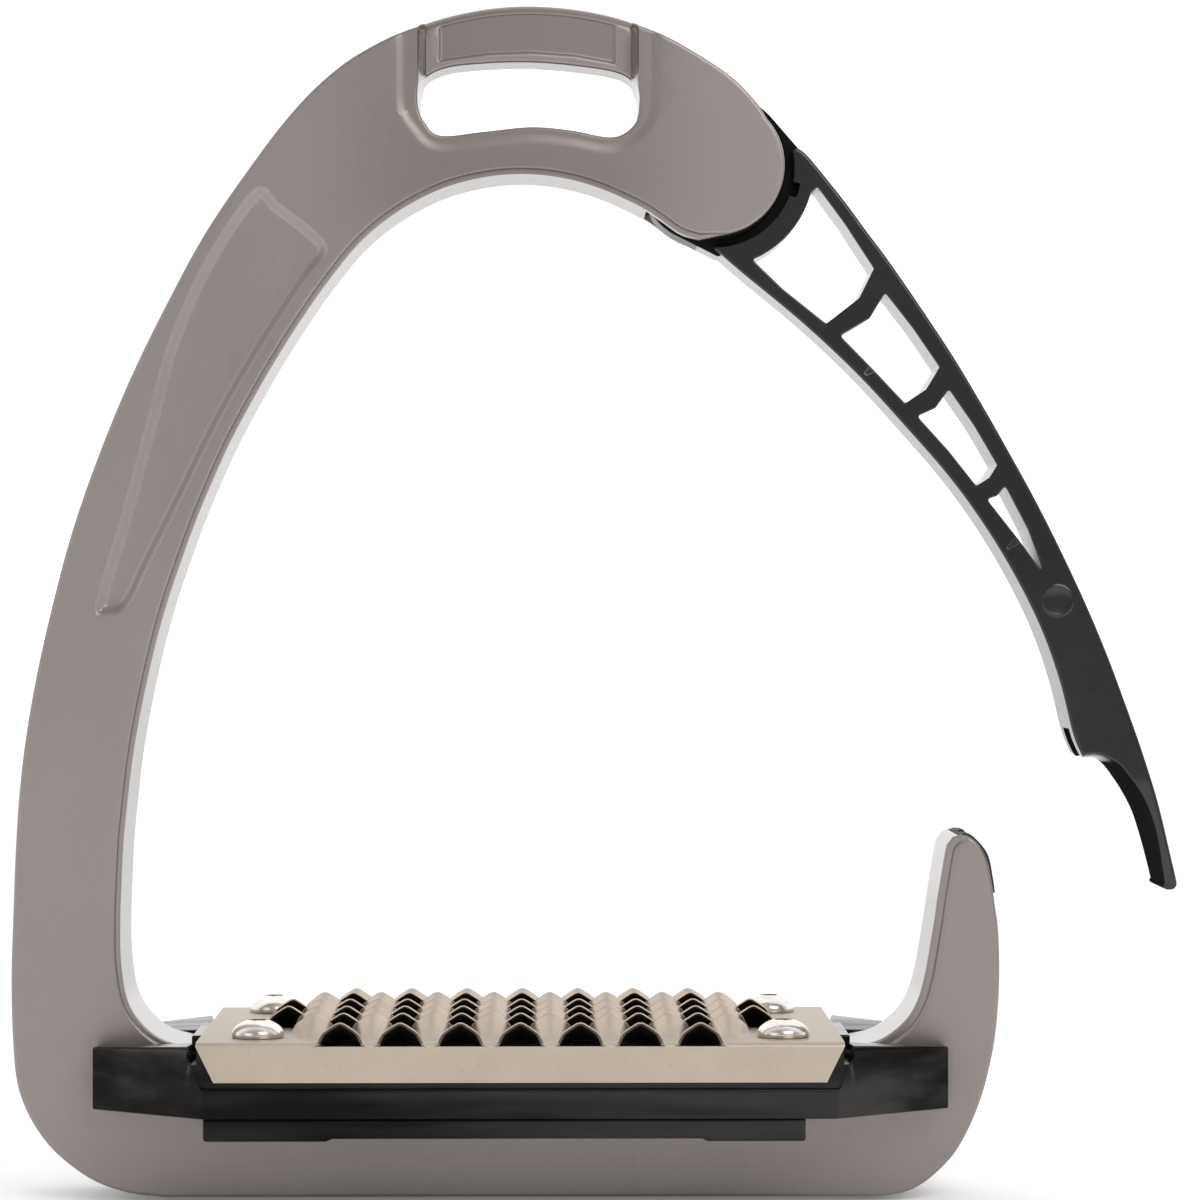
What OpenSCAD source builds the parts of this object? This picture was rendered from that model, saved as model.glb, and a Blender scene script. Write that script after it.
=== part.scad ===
// Safety stirrup iron with a hinged release arm.
// X runs across the tread, Y runs from the front face to the rear face, Z is up.
// The origin is the centre of the bar's underside.

/* [Frame] */
// Depth of the frame, front face to rear face
frame_depth = 20; // [18:0.5:22]
// Thickness of the recessed bar above the leather slot
eye_bar_depth = 9.6; // [8:0.2:12]
// Depth of the long pocket in each face of the closed leg
pocket_depth = 0.7; // [0.3:0.1:1.2]
// Cheek radius around the hinge
cheek_r = 10.45; // [10:0.05:10.6]

/* [Hinge] */
// Radius of the arm's hub, between the cheeks
hub_r = 11.9; // [11.5:0.1:11.9]
// Thickness of the arm's tongue, between the cheeks
tongue_depth = 12.6; // [11:0.1:12.8]
// Gap between tongue and cheek, on each side
fork_gap = 0.3; // [0.2:0.05:0.4]
// Radius of the hinge pin
pin_r = 3; // [2.5:0.1:3.2]
// Radial running clearance of the pin in its bush
pin_fit = 0.05; // [0.02:0.01:0.08]
// Outer radius of the bush in the arm's hub
bush_r = 4.6; // [4:0.1:5]

/* [Detent] */
// Radius of the detent plunger
plunger_r = 1.75; // [1.5:0.05:1.75]
// Length of the detent plunger
plunger_len = 6.4; // [5:0.2:7]
// How far the plunger can come out
plunger_travel = 0.6; // [0.4:0.1:0.6]
// Wire diameter of the detent spring
spring_wire = 0.5; // [0.4:0.05:0.6]
// Number of turns in the detent spring
spring_turns = 6; // [4:1:8]

/* [Arm] */
// Thickness of the arm at its top
arm_depth_top = 13.8; // [13.2:0.1:14.4]
// Thickness of the arm at its bottom
arm_depth_low = 16.8; // [15:0.1:18]

/* [Tread] */
// Depth of the tread, front edge to rear edge
tread_depth = 60; // [56:1:62]
// Half the width of the tread plate
plate_half_w = 47; // [46.5:0.1:47.2]
// Height of the plate's top face above the bar's underside
plate_top = 24.9; // [24.7:0.1:25.6]
// Sheet thickness of the tread plate
plate_t = 0.6; // [0.5:0.1:0.8]
// Height of a grip tooth
tooth_h = 2.7; // [2.2:0.1:3.2]
// Spacing of the grip teeth
tooth_pitch = 8.7; // [8.6:0.1:8.8]
// Width of a grip tooth at its foot
tooth_w = 6.2; // [5:0.1:6.4]

/* [Fasteners] */
// Distance of the tread screws from the middle, across the tread
screw_x = 38.5; // [38:0.1:39]
// Distance of the tread screws from the middle, front to rear
screw_y = 21; // [20.5:0.1:21.5]
// Head radius of the tread screws
screw_head_r = 3.8; // [3.5:0.1:4]
// Shank radius of the tread screws
screw_r = 1.95; // [1.5:0.05:1.95]

/* [Hidden] */

hy = frame_depth / 2;
piv = [28.9, 153.8];
slot_half = tongue_depth / 2 + fork_gap;
slot_r = 12.2;
detent_a = 176;
groove_r = 11.2;
nose_at = 12.2;
bar_top = 22.5;
base_low = 13.8;
gap_bar = 0.25;

// Catmull-Rom curve through open point list p, n steps per span
function pt(p, i) = p[max(0, min(len(p) - 1, i))];
function cr(a, b, c, d, t) =
    0.5 * (2 * b + (c - a) * t + (2 * a - 5 * b + 4 * c - d) * t * t
         + (3 * b - a - 3 * c + d) * t * t * t);
function curve(p, n) = concat(
    [for (i = [0 : len(p) - 2]) for (j = [0 : n - 1])
        cr(pt(p, i - 1), p[i], pt(p, i + 1), pt(p, i + 2), j / n)],
    [p[len(p) - 1]]);
// Points on an arc about c
function arc(c, r, a0, a1, n) =
    [for (i = [0 : n]) let (a = a0 + (a1 - a0) * i / n) c + r * [cos(a), sin(a)]];
// The same closed curve through a ring of points
function ring(p, n) = [for (i = [0 : len(p) - 1]) for (j = [0 : n - 1])
    let (k = len(p))
    cr(p[(i + k - 1) % k], p[i], p[(i + 1) % k], p[(i + 2) % k], j / n)];

// Draws a side-view outline (X across, Z up) between two depths
module slab(y0, y1) { translate([0, y1, 0]) rotate([90, 0, 0]) linear_extrude(height = y1 - y0) children(); }

// ---- frame outline, closed leg and arch ----
frame_outer = [[-53, 0], [-58.5, 0.7], [-63.8, 2.6], [-68.9, 6.3], [-72, 10], [-74.1, 14], [-75.2, 18],
    [-75.7, 24], [-75.9, 32], [-75.7, 40], [-75.1, 54.7], [-74.1, 66], [-72.3, 77], [-69.8, 88.2],
    [-66.8, 99.4], [-62.9, 110.6], [-58.3, 121.8], [-52.9, 132.9], [-46.8, 144.1], [-39.1, 155.3],
    [-34, 161.8], [-29.4, 166.5], [-24.2, 170.4], [-16.9, 174], [-7.9, 176.4], [1.3, 177.2],
    [11.3, 176.3], [19.8, 173.9], [26.9, 170.1], [32, 166.5], [35.4, 162.9]];
frame_inner_arch = [[26.6, 142.8], [23.7, 143.7], [20.7, 145.8], [17.7, 147.7], [11.7, 150.4],
    [5.8, 152], [-0.2, 152.5], [-6.1, 151.9], [-12.1, 150.2], [-18.2, 147], [-23.7, 142.6],
    [-28.6, 136.7], [-32.8, 130.7], [-36.6, 124.7], [-40, 118.8], [-43.2, 112.8], [-45.9, 106.9],
    [-48.4, 100.9], [-50.6, 94.9], [-52.6, 89], [-54.3, 83], [-55.7, 77], [-56.9, 71.1], [-57.9, 65.1],
    [-58.6, 59.2], [-59.2, 53.2], [-59.5, 47.2], [-59.7, 41.3], [-59.6, 35.3], [-58.7, 29.6],
    [-56.6, 26], [-53.4, 23.5], [-49.4, 22.5]];
frame_inner_stub = [[49.4, 22.5], [53.6, 23.4], [57.3, 26.2], [59.2, 29.4], [60.2, 32.9], [60.7, 35.5],
    [61.2, 38.5], [61.7, 41.5], [62.1, 44.4], [62.6, 47.4], [63.1, 50.4], [63.4, 52]];
frame_outer_stub = [[64.3, 53], [66.2, 53.5], [68.1, 52.6], [69.5, 50.2], [70.2, 47], [70.7, 43.5],
    [71.1, 39.8], [71.2, 34], [70.9, 28.6], [70.2, 22.9], [69, 17.4], [67.8, 13.7], [66.2, 9.9],
    [63.9, 6.2], [60.2, 2.6], [57, 0.8], [53.4, 0]];

eye = [[-15.4, 162.6], [-14.9, 160], [-12.1, 158.1], [-5.5, 158.8], [1.5, 159.5], [7.5, 159],
    [13.6, 158], [16.8, 159.8], [17.6, 162.8], [17, 165.7], [14.1, 167.5], [7.9, 168.6],
    [1.3, 169.1], [-5, 168.9], [-11.4, 168], [-14.6, 165.7]];

pocket = [[-39.5, 149.8], [-46.5, 139.8], [-52, 127.6], [-55, 116.6], [-59.3, 100.8], [-63, 88.2],
    [-61.8, 87.2], [-58.8, 88.2], [-55.4, 95], [-50.8, 104.2], [-45, 116], [-39, 126.4],
    [-32.4, 136.6], [-29.2, 141], [-31.2, 143.8], [-36.4, 147.8]];

module frame_outline() {
    polygon(concat(curve(frame_outer, 3), arc(piv, cheek_r, 42, -78, 24),
        curve(frame_inner_arch, 3), curve(frame_inner_stub, 2), curve(frame_outer_stub, 2)));
}

module frame() {
    color([0.56, 0.54, 0.52]) difference() {
        slab(-hy, hy) frame_outline();
        // slot for the stirrup leather, and the thinner bar above it
        slab(-hy - 1, hy + 1) polygon(ring(eye, 3));
        for (s = [-1, 1]) translate([-14.8, s > 0 ? eye_bar_depth / 2 : -hy - 1, 163])
            cube([31.8, hy + 1 - eye_bar_depth / 2, 20]);
        // long shallow pocket in each face of the leg
        for (s = [-1, 1]) slab(s > 0 ? hy - pocket_depth : -hy - 1, s > 0 ? hy + 1 : -hy + pocket_depth)
            polygon(ring(pocket, 2));
        // fork for the arm's tongue
        translate([piv[0], 0, piv[1]]) rotate([90, 0, 0])
            cylinder(r = slot_r, h = 2 * slot_half, center = true, $fn = 96);
        // hinge screw: blind in the front cheek, head let into the rear cheek
        translate([piv[0], hy - 3.6, piv[1]]) rotate([90, 0, 0])
            cylinder(r = pin_r + 0.02, h = 2 * hy - 3.6 - 1.2, $fn = 48);
        translate([piv[0], hy + 1, piv[1]]) rotate([90, 0, 0])
            cylinder(r = pin_r + 0.02, h = 5, $fn = 48);
        translate([piv[0], hy + 1, piv[1]]) rotate([90, 0, 0])
            cylinder(r = 4.7, h = 2.4, $fn = 64);
        // blind bore for plunger and spring, drilled through the fork
        translate([piv[0], 0, piv[1]]) rotate([0, -detent_a, 0]) translate([11, 0, 0])
            rotate([0, 90, 0]) cylinder(r = plunger_r + 0.05, h = 15.4, $fn = 40);
        // grooves that the clamp rails hook into
        for (s = [-1, 1]) translate([-46.2, s > 0 ? hy - 1 : -hy - 1, 10.9]) cube([87.9, 2, 2.8]);
        // seat of the latch pad in the stub's tip
        slab(-pad_half - 0.1, pad_half + 0.1) polygon(pad_seat);
    }
}

// ---- rubber pad let into the tip of the stub ----
pad_half = 9.1;
pad_seat = [[64.6, 51], [62, 51], [62, 57], [73.5, 57], [73.5, 45], [69.2, 45], [68.9, 47.6], [67.6, 50.2], [66, 51]];
pad_outer = [[63.3, 51.6], [63.6, 53.1], [64.2, 54.1], [65.6, 54.5], [67.7, 53.6], [69.7, 50.9], [70.4, 47.4], [70.7, 45.2]];
module latch_pad() {
    color([0.06, 0.06, 0.06]) union() {
        slab(-pad_half, pad_half) polygon(concat(curve(pad_outer, 3),
            [[69.4, 45.2], [69.1, 47.7], [67.7, 50.4], [66, 51.2], [63.3, 51.2]]));
        // nub that enters the slot in the arm's step
        slab(-3, 3) polygon([[64.1, 53], [64.1, 54.7], [64.4, 55], [65.3, 55], [65.6, 54.7], [65.6, 53]]);
    }
}

// ---- release arm ----
arm_outer = [[41.3, 156.4], [42.7, 155.3], [45.6, 151.6], [48.6, 147.8], [51.3, 144.1], [54.1, 140.4],
    [56.7, 136.7], [59.3, 132.9], [64.2, 125.5], [68.7, 118], [72.9, 110.6], [77, 103.1], [80.7, 95.7],
    [84.2, 88.2], [87.3, 80.8], [90.1, 73.3], [92.7, 65.9], [95, 58.4], [96.8, 51], [97.7, 47.2]];
arm_tip = [[97.8, 46.2], [97, 45.7], [95.9, 45.9]];
arm_lip = [[95.5, 46.6], [94.7, 49.4], [93.7, 52.9], [92.4, 56.9], [90.9, 59.9], [89.6, 61.9], [88.2, 63.8],
    [86.9, 64.9], [85.6, 65.3], [84.1, 65.2]];
arm_inner = [[83.6, 65.9], [82.3, 69.1], [80.4, 76.7], [77.7, 84.4], [74, 92], [69.4, 99.7], [63.9, 107.3],
    [57.2, 115], [50.2, 122.6], [42.1, 130.2], [32.8, 137.9], [29, 141.2]];
window_1 = [[33.4, 140.8], [44.2, 150.6], [48.3, 145], [52.6, 138.4], [50.4, 134], [45.5, 130.2], [39, 135.4]];
window_2 = [[47.6, 128.4], [52, 131], [54.3, 134.8], [58.5, 129.4], [62.4, 123.7], [60.4, 120.4], [57.3, 118.3], [52.4, 123.5]];
window_3 = [[59.1, 116.4], [61.8, 117.6], [63.8, 120.4], [67.6, 114.9], [71, 109.1], [69.8, 107.2], [67.9, 106], [63.8, 111.2]];
window_4 = [[69.5, 104], [71, 104.5], [72.2, 106], [75.6, 99.5], [78.3, 92.4], [74.2, 98]];

module arm_outline() {
    polygon(concat(curve(arm_outer, 2), arm_tip, curve(arm_lip, 2), curve(arm_inner, 2),
        arc(piv, hub_r + 0.05, -90, 12, 24)));
}
module safety_arm() {
    color([0.07, 0.07, 0.07]) difference() {
        union() {
            intersection() {
                slab(-hy, hy) difference() {
                    arm_outline();
                    difference() { polygon(window_1); translate(piv) circle(r = 15, $fn = 96); }
                    polygon(window_2);
                    polygon(window_3);
                    polygon(window_4);
                }
                // the arm gets thicker towards its lower end
                translate([20, 0, 0]) rotate([90, 0, 90]) linear_extrude(height = 90)
                    polygon([[-arm_depth_top / 2, 160], [arm_depth_top / 2, 160], [arm_depth_top / 2, 150],
                        [arm_depth_low / 2, 62], [arm_depth_low / 2 - 0.8, 40],
                        [-arm_depth_low / 2 + 0.8, 40], [-arm_depth_low / 2, 62], [-arm_depth_top / 2, 150]]);
            }
            // hub between the cheeks
            translate([piv[0], 0, piv[1]]) rotate([90, 0, 0])
                cylinder(r = hub_r, h = tongue_depth, center = true, $fn = 96);
            // web that joins the hub to the arm
            slab(-tongue_depth / 2, tongue_depth / 2)
                polygon(concat([piv], arc(piv, 13.2, -86, 6, 18)));
        }
        // bore for the bush
        translate([piv[0], 0, piv[1]]) rotate([90, 0, 0])
            cylinder(r = bush_r + 0.01, h = 30, center = true, $fn = 64);
        // track in the hub's rim for the plunger, with a ridge before the closed pocket
        slab(-2.4, 2.4) polygon(concat(arc(piv, 14, 126, 180.3, 16), arc(piv, groove_r, 180.3, 126, 16)));
        slab(-2.4, 2.4) polygon(concat(arc(piv, 14, 183.7, 193, 4), arc(piv, groove_r, 193, 183.7, 4)));
        // slot in the step's inner edge, for the nub of the latch pad
        slab(-4, 4) polygon([[80, 69.6], [82.9, 69.6], [84.6, 67], [85.8, 64], [80, 64]]);
        // small witness notch in the shoulder
        slab(-hy, hy) polygon([for (q = [[11.2, -1.05], [13.1, -1.05], [13.1, 1.05], [11.2, 1.05]])
            piv + [q[0] * cos(-15.5) - q[1] * sin(-15.5), q[0] * sin(-15.5) + q[1] * cos(-15.5)]]);
    }
}

// ---- hinge hardware ----
module hub_bush() {
    color([0.72, 0.60, 0.36]) translate([piv[0], 0, piv[1]]) rotate([90, 0, 0]) difference() {
        cylinder(r = bush_r, h = tongue_depth - 0.1, center = true, $fn = 64);
        cylinder(r = pin_r + pin_fit, h = 30, center = true, $fn = 64);
    }
}
module pivot_screw() {
    color([0.70, 0.70, 0.70]) difference() {
        union() {
            translate([piv[0], hy - 1, piv[1]]) rotate([90, 0, 0]) cylinder(r = pin_r, h = 2 * hy - 1 - 1.3, $fn = 64);
            translate([piv[0], hy - 0.2, piv[1]]) rotate([90, 0, 0]) cylinder(r = 4.6, h = 1.15, $fn = 64);
        }
        // hexagon socket in the rear end
        translate([piv[0], hy + 1, piv[1]]) rotate([90, 30, 0]) cylinder(r = 1.75, h = 4.2, $fn = 6);
    }
}

// ---- detent ----
// Places a shape whose +Z runs outwards along the detent bore from the hinge axis
module along_detent() { translate([piv[0], 0, piv[1]]) rotate([0, -detent_a, 0]) rotate([0, 90, 0]) children(); }
module detent_plunger() {
    color([0.75, 0.75, 0.75]) along_detent() rotate_extrude($fn = 48)
        polygon([[0, nose_at], [0.35, nose_at], [plunger_r, nose_at + 1.7],
            [plunger_r, nose_at + plunger_len], [0, nose_at + plunger_len]]);
}
spring_z0 = nose_at + plunger_len + 0.05;
spring_z1 = 26.2;
spring_mean_r = plunger_r - spring_wire / 2 - 0.1;
spring_steps = 14;
// Centre of the wire at turn t, and its six-sided ring
function coil(t) = [spring_mean_r * cos(360 * t), spring_mean_r * sin(360 * t),
    spring_z0 + spring_wire / 2 + 0.02 + (spring_z1 - spring_z0 - spring_wire - 0.04) * t / spring_turns];
function wire_ring(t) = [for (k = [0 : 5]) let (b = 60 * k, c = coil(t), w = spring_wire / 2)
    [c[0] + w * cos(b) * cos(360 * t), c[1] + w * cos(b) * sin(360 * t), c[2] + w * sin(b)]];
module detent_spring() {
    m = spring_turns * spring_steps;
    pts = [for (i = [0 : m]) each wire_ring(i / spring_steps)];
    color([0.6, 0.6, 0.62]) along_detent() polyhedron(points = pts, faces = concat(
        [[for (k = [0 : 5]) k]], [[for (k = [5 : -1 : 0]) m * 6 + k]],
        [for (i = [0 : m - 1]) for (k = [0 : 5])
            [i * 6 + k, (i + 1) * 6 + k, (i + 1) * 6 + (k + 1) % 6, i * 6 + (k + 1) % 6]]), convexity = 8);
}

// ---- tread base ----
ty = tread_depth / 2;
module base_half_plan(s) {
    polygon([[-63.2, s * 10.25], [-63.2, s * 16], [-46, s * ty], [46, s * ty], [63.2, s * 16], [63.2, s * 10.25]]);
}
module tread_base() {
    color([0.10, 0.10, 0.11]) difference() {
        union() {
            // front and rear halves, each with its two ears
            for (s = [-1, 1]) translate([0, 0, base_low]) linear_extrude(height = plate_top - base_low) base_half_plan(s);
            // bridge over the bar
            translate([-49, -10.3, bar_top + gap_bar]) cube([98, 20.6, plate_top - plate_t - 0.1 - bar_top - gap_bar]);
            for (s = [-1, 1]) translate([-45.8, s > 0 ? 10 : -ty + 0.8, 23])
                cube([91.6, ty - 10.8, plate_top - plate_t - 0.1 - 23]);
        }
        // step that the plate's folded edges drop into
        for (s = [-1, 1]) slab(s > 0 ? ty - 0.8 : -ty - 1, s > 0 ? ty + 1 : -ty + 0.8)
            polygon([[-44.6, 18.5], [44.6, 18.5], [48, 26], [-48, 26]]);
        // flat seat of the plate
        translate([-plate_half_w - 0.3, -ty - 1, plate_top - plate_t - 0.1]) cube([2 * plate_half_w + 0.6, 2 * ty + 2, 3]);
        // the ears' inner walls follow the plate's ends
        for (s = [-1, 1]) slab(-ty - 1, ty + 1)
            polygon([[s * 45.8, 22], [s * 46.6, 22], [s * 47.7, 25.5], [s * 45.8, 25.5]]);
        // the ears' tops fall towards the tips and towards the bar
        for (s = [-1, 1]) for (t = [-1, 1]) translate([s * 47.5, t * 10.2, 23.1]) rotate([t * 3.5, s * 1.7, 0])
            translate([s > 0 ? -0.9 : -18.1, t > 0 ? -1 : -21, 0]) cube([19, 22, 6]);
        // seats for the threaded inserts
        for (x = [-1, 1]) for (y = [-1, 1]) translate([x * screw_x, y * screw_y, 15])
            cylinder(r = 2.9, h = 12, $fn = 40);
        // pilot holes of the rail screws
        for (x = [-32, 31.5]) for (y = [-1, 1]) translate([x, y * 16.5, base_low - 1])
            cylinder(r = 1.46, h = 6.6, $fn = 32);
    }
}

// ---- clamp rails under the base ----
module clamp_rail(s) {
    color([0.09, 0.09, 0.10]) difference() {
        union() {
            translate([-46, s > 0 ? 10.2 : -ty + 0.6, 10.9]) cube([87.4, ty - 10.8, base_low - 0.05 - 10.9]);
            translate([-46, s > 0 ? 9.15 : -10.3, 11.1]) cube([87.4, 1.15, 2.35]);
            for (b = [[-46, 18], [27, 14.4]]) translate([b[0], s > 0 ? 11 : -ty + 0.6, 10.5])
                cube([b[1], ty - 11.6, 1]);
        }
        for (x = [-32, 31.5]) translate([x, s * 16.5, 0]) {
            cylinder(r = 1.6, h = 30, $fn = 32);
            translate([0, 0, 10.4]) cylinder(r1 = 3.05, r2 = 1.6, h = 1.6, $fn = 32);
        }
    }
}
module clamp_rail_front() { clamp_rail(-1); }
module clamp_rail_rear() { clamp_rail(1); }

// ---- tread plate with grip teeth ----
// One row of teeth: upright faces at depth y, ramps towards side s
module tooth_row(y, s, xs) {
    intersection() {
        slab(y - 7, y + 7) polygon(concat(
            [for (x = xs) each [[x - tooth_w / 2, plate_top - 0.1], [x - tooth_w / 4, plate_top + tooth_h * 0.42],
                [x - 0.45, plate_top + tooth_h * 0.95], [x, plate_top + tooth_h], [x + 0.45, plate_top + tooth_h * 0.95],
                [x + tooth_w / 4, plate_top + tooth_h * 0.42], [x + tooth_w / 2, plate_top - 0.1]]],
            [[xs[len(xs) - 1] + tooth_w / 2, plate_top - 0.3], [xs[0] - tooth_w / 2, plate_top - 0.3]]));
        translate([-60, 0, 0]) rotate([90, 0, 90]) linear_extrude(height = 120)
            polygon([[y, plate_top - 0.3], [y, plate_top + tooth_h + 0.1], [y + s * 5.6, plate_top - 0.3]]);
    }
}
rows_y = [-ty, -18, -6, 6, 18];
function cols(a, b, off) = [for (k = [a : b]) (k + off) * tooth_pitch];
module tread_plate() {
    color([0.72, 0.70, 0.66]) difference() {
        union() {
            translate([-plate_half_w, -ty, plate_top - plate_t]) cube([2 * plate_half_w, 2 * ty, plate_t]);
            // folded front and rear edges
            for (s = [-1, 1]) slab(s > 0 ? ty - plate_t : -ty, s > 0 ? ty : -ty + plate_t)
                polygon([[-plate_half_w, plate_top - 0.2], [plate_half_w, plate_top - 0.2], [44.5, 19.1], [-44.5, 19.1]]);
            for (i = [0 : 4]) tooth_row(rows_y[i], 1, (i == 2 || i == 3) ? cols(-4, 4, 0) : cols(-3, 3, 0));
            for (i = [1 : 4]) tooth_row(rows_y[i] - 0.01, -1, cols(-4, 3, 0.5));
            tooth_row(ty, -1, cols(-3, 3, 0));
        }
        for (x = [-1, 1]) for (y = [-1, 1]) translate([x * screw_x, y * screw_y, plate_top - 3])
            cylinder(r = 2.2, h = 10, $fn = 40);
    }
}

// ---- fasteners ----
module tread_screw(x, y) {
    color([0.74, 0.73, 0.71]) translate([x, y, 0]) difference() {
        union() {
            translate([0, 0, 16.6]) cylinder(r = screw_r, h = plate_top - 16.4, $fn = 40);
            translate([0, 0, plate_top + 0.02]) rotate_extrude($fn = 64) polygon(concat(
                [[0, 0], [screw_head_r, 0], [screw_head_r, 0.7]],
                [for (i = [0 : 6]) let (a = 20 + i * 70 / 6) [screw_head_r * 0.92 * cos(a), 0.7 + 1.9 * sin(a)]]));
        }
        // hexagon socket
        translate([0, 0, plate_top + 1]) cylinder(r = 1.44, h = 4, $fn = 6);
    }
}
module base_insert(x, y) {
    color([0.75, 0.62, 0.36]) translate([x, y, 0]) difference() {
        translate([0, 0, 15.6]) cylinder(r = 2.88, h = 8.55, $fn = 40);
        translate([0, 0, 14]) cylinder(r = screw_r + 0.02, h = 12, $fn = 40);
    }
}
module rail_screw(x, y) {
    color([0.30, 0.30, 0.31]) translate([x, y * 16.5, 0]) difference() {
        union() {
            translate([0, 0, 10.6]) cylinder(r = 1.45, h = 8.5, $fn = 32);
            translate([0, 0, 10.55]) cylinder(r1 = 2.8, r2 = 1.45, h = 1.45, $fn = 32);
        }
        translate([-0.3, -1.5, 10]) cube([0.6, 3, 1.4]);
        translate([-1.5, -0.3, 10]) cube([3, 0.6, 1.4]);
    }
}
module tread_screw_front_left() { tread_screw(-screw_x, -screw_y); }
module tread_screw_front_right() { tread_screw(screw_x, -screw_y); }
module tread_screw_rear_left() { tread_screw(-screw_x, screw_y); }
module tread_screw_rear_right() { tread_screw(screw_x, screw_y); }
module base_insert_front_left() { base_insert(-screw_x, -screw_y); }
module base_insert_front_right() { base_insert(screw_x, -screw_y); }
module base_insert_rear_left() { base_insert(-screw_x, screw_y); }
module base_insert_rear_right() { base_insert(screw_x, screw_y); }
module rail_screw_front_left() { rail_screw(-32, -1); }
module rail_screw_front_right() { rail_screw(31.5, -1); }
module rail_screw_rear_left() { rail_screw(-32, 1); }
module rail_screw_rear_right() { rail_screw(31.5, 1); }

frame();
latch_pad();
safety_arm();
hub_bush();
pivot_screw();
detent_plunger();
detent_spring();
tread_base();
clamp_rail_front();
clamp_rail_rear();
tread_plate();
tread_screw_front_left();
tread_screw_front_right();
tread_screw_rear_left();
tread_screw_rear_right();
base_insert_front_left();
base_insert_front_right();
base_insert_rear_left();
base_insert_rear_right();
rail_screw_front_left();
rail_screw_front_right();
rail_screw_rear_left();
rail_screw_rear_right();
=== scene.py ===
import math
import bpy
import bmesh
import numpy as np
from mathutils import Vector, Matrix
from mathutils.geometry import delaunay_2d_cdt
from mathutils.kdtree import KDTree


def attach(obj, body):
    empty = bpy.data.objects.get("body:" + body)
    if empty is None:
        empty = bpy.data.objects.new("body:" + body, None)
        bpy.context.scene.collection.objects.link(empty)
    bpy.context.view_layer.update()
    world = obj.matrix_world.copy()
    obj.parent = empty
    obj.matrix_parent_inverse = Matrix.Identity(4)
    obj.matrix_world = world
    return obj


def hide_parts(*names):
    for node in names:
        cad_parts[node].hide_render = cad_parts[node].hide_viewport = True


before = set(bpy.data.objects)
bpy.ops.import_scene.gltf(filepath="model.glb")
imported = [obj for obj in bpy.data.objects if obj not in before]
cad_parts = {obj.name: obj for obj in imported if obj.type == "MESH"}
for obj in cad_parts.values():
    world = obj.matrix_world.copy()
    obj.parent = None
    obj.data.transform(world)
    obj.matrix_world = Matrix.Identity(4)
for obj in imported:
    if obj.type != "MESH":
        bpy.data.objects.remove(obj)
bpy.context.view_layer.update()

MM = 0.001
PIV = np.array([28.9, 153.8])


# ------------------------------------------------------------------ curves
def sstep(t):
    t = np.clip(t, 0, 1)
    return t * t * (3 - 2 * t)


def catmull(p, n, closed=False):
    """Uniform Catmull-Rom curve, the same one that shapes the CAD outlines."""
    p = np.asarray(p, float)
    m = len(p)
    out = []
    for i in range(m if closed else m - 1):
        if closed:
            a, b, c, d = p[(i - 1) % m], p[i], p[(i + 1) % m], p[(i + 2) % m]
        else:
            a, b, c, d = p[max(i - 1, 0)], p[i], p[i + 1], p[min(i + 2, m - 1)]
        for j in range(n):
            t = j / n
            out.append(0.5 * (2 * b + (c - a) * t + (2 * a - 5 * b + 4 * c - d) * t * t
                              + (3 * b - a - 3 * c + d) * t ** 3))
    if not closed:
        out.append(p[-1])
    return np.array(out)


def resample(poly, step, closed=False):
    poly = np.asarray(poly, float)
    if closed:
        poly = np.vstack([poly, poly[:1]])
    d = np.r_[0, np.cumsum(np.linalg.norm(np.diff(poly, axis=0), axis=1))]
    n = max(1, int(round(d[-1] / step)))
    s = np.linspace(0, d[-1], n + 1)
    out = np.c_[np.interp(s, d, poly[:, 0]), np.interp(s, d, poly[:, 1])]
    return out[:-1] if closed else out


def join(*parts):
    out = []
    for part in parts:
        for q in np.asarray(part, float):
            if not out or np.hypot(*(q - out[-1])) > 1e-4:
                out.append(q)
    if np.hypot(*(out[0] - out[-1])) < 1e-4:
        out.pop()
    return np.array(out)


def arc(c, r, a0, a1, n):
    a = np.radians(np.linspace(a0, a1, n + 1))
    return np.c_[c[0] + r * np.cos(a), c[1] + r * np.sin(a)]


def circle(c, r, n):
    return arc(c, r, 0, 360, n)[:-1]


def area(poly):
    x, y = poly[:, 0], poly[:, 1]
    return 0.5 * np.sum(x * np.roll(y, -1) - np.roll(x, -1) * y)


def ccw(poly):
    return poly if area(poly) > 0 else poly[::-1].copy()


def rounded(pts, r, step=0.6, n=5):
    """Closed polygon with rounded corners, its straight edges divided by step."""
    pts = np.asarray(pts, float)
    m = len(pts)
    rs = [r] * m if np.isscalar(r) else list(r)
    out = []
    for i in range(m):
        a, b, c = pts[(i - 1) % m], pts[i], pts[(i + 1) % m]
        u, v = (a - b), (c - b)
        lu, lv = np.hypot(*u), np.hypot(*v)
        u, v = u / lu, v / lv
        half = 0.5 * math.acos(float(np.clip(u @ v, -1, 1)))
        t = min(rs[i] / max(math.tan(half), 1e-6), 0.45 * lu, 0.45 * lv)
        p0, p1 = b + u * t, b + v * t
        if out:
            k = max(1, int(np.hypot(*(p0 - out[-1])) / step))
            for j in range(1, k):
                out.append(out[-1] + 0 * p0 if False else lastq + (p0 - lastq) * j / k)
        for j in range(n + 1):
            s = j / n
            out.append((1 - s) ** 2 * p0 + 2 * s * (1 - s) * b + s * s * p1)
        lastq = out[-1].copy()
    k = max(1, int(np.hypot(*(out[0] - lastq)) / step))
    first = out[0].copy()
    for j in range(1, k):
        out.append(lastq + (first - lastq) * j / k)
    return join(out)


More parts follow.
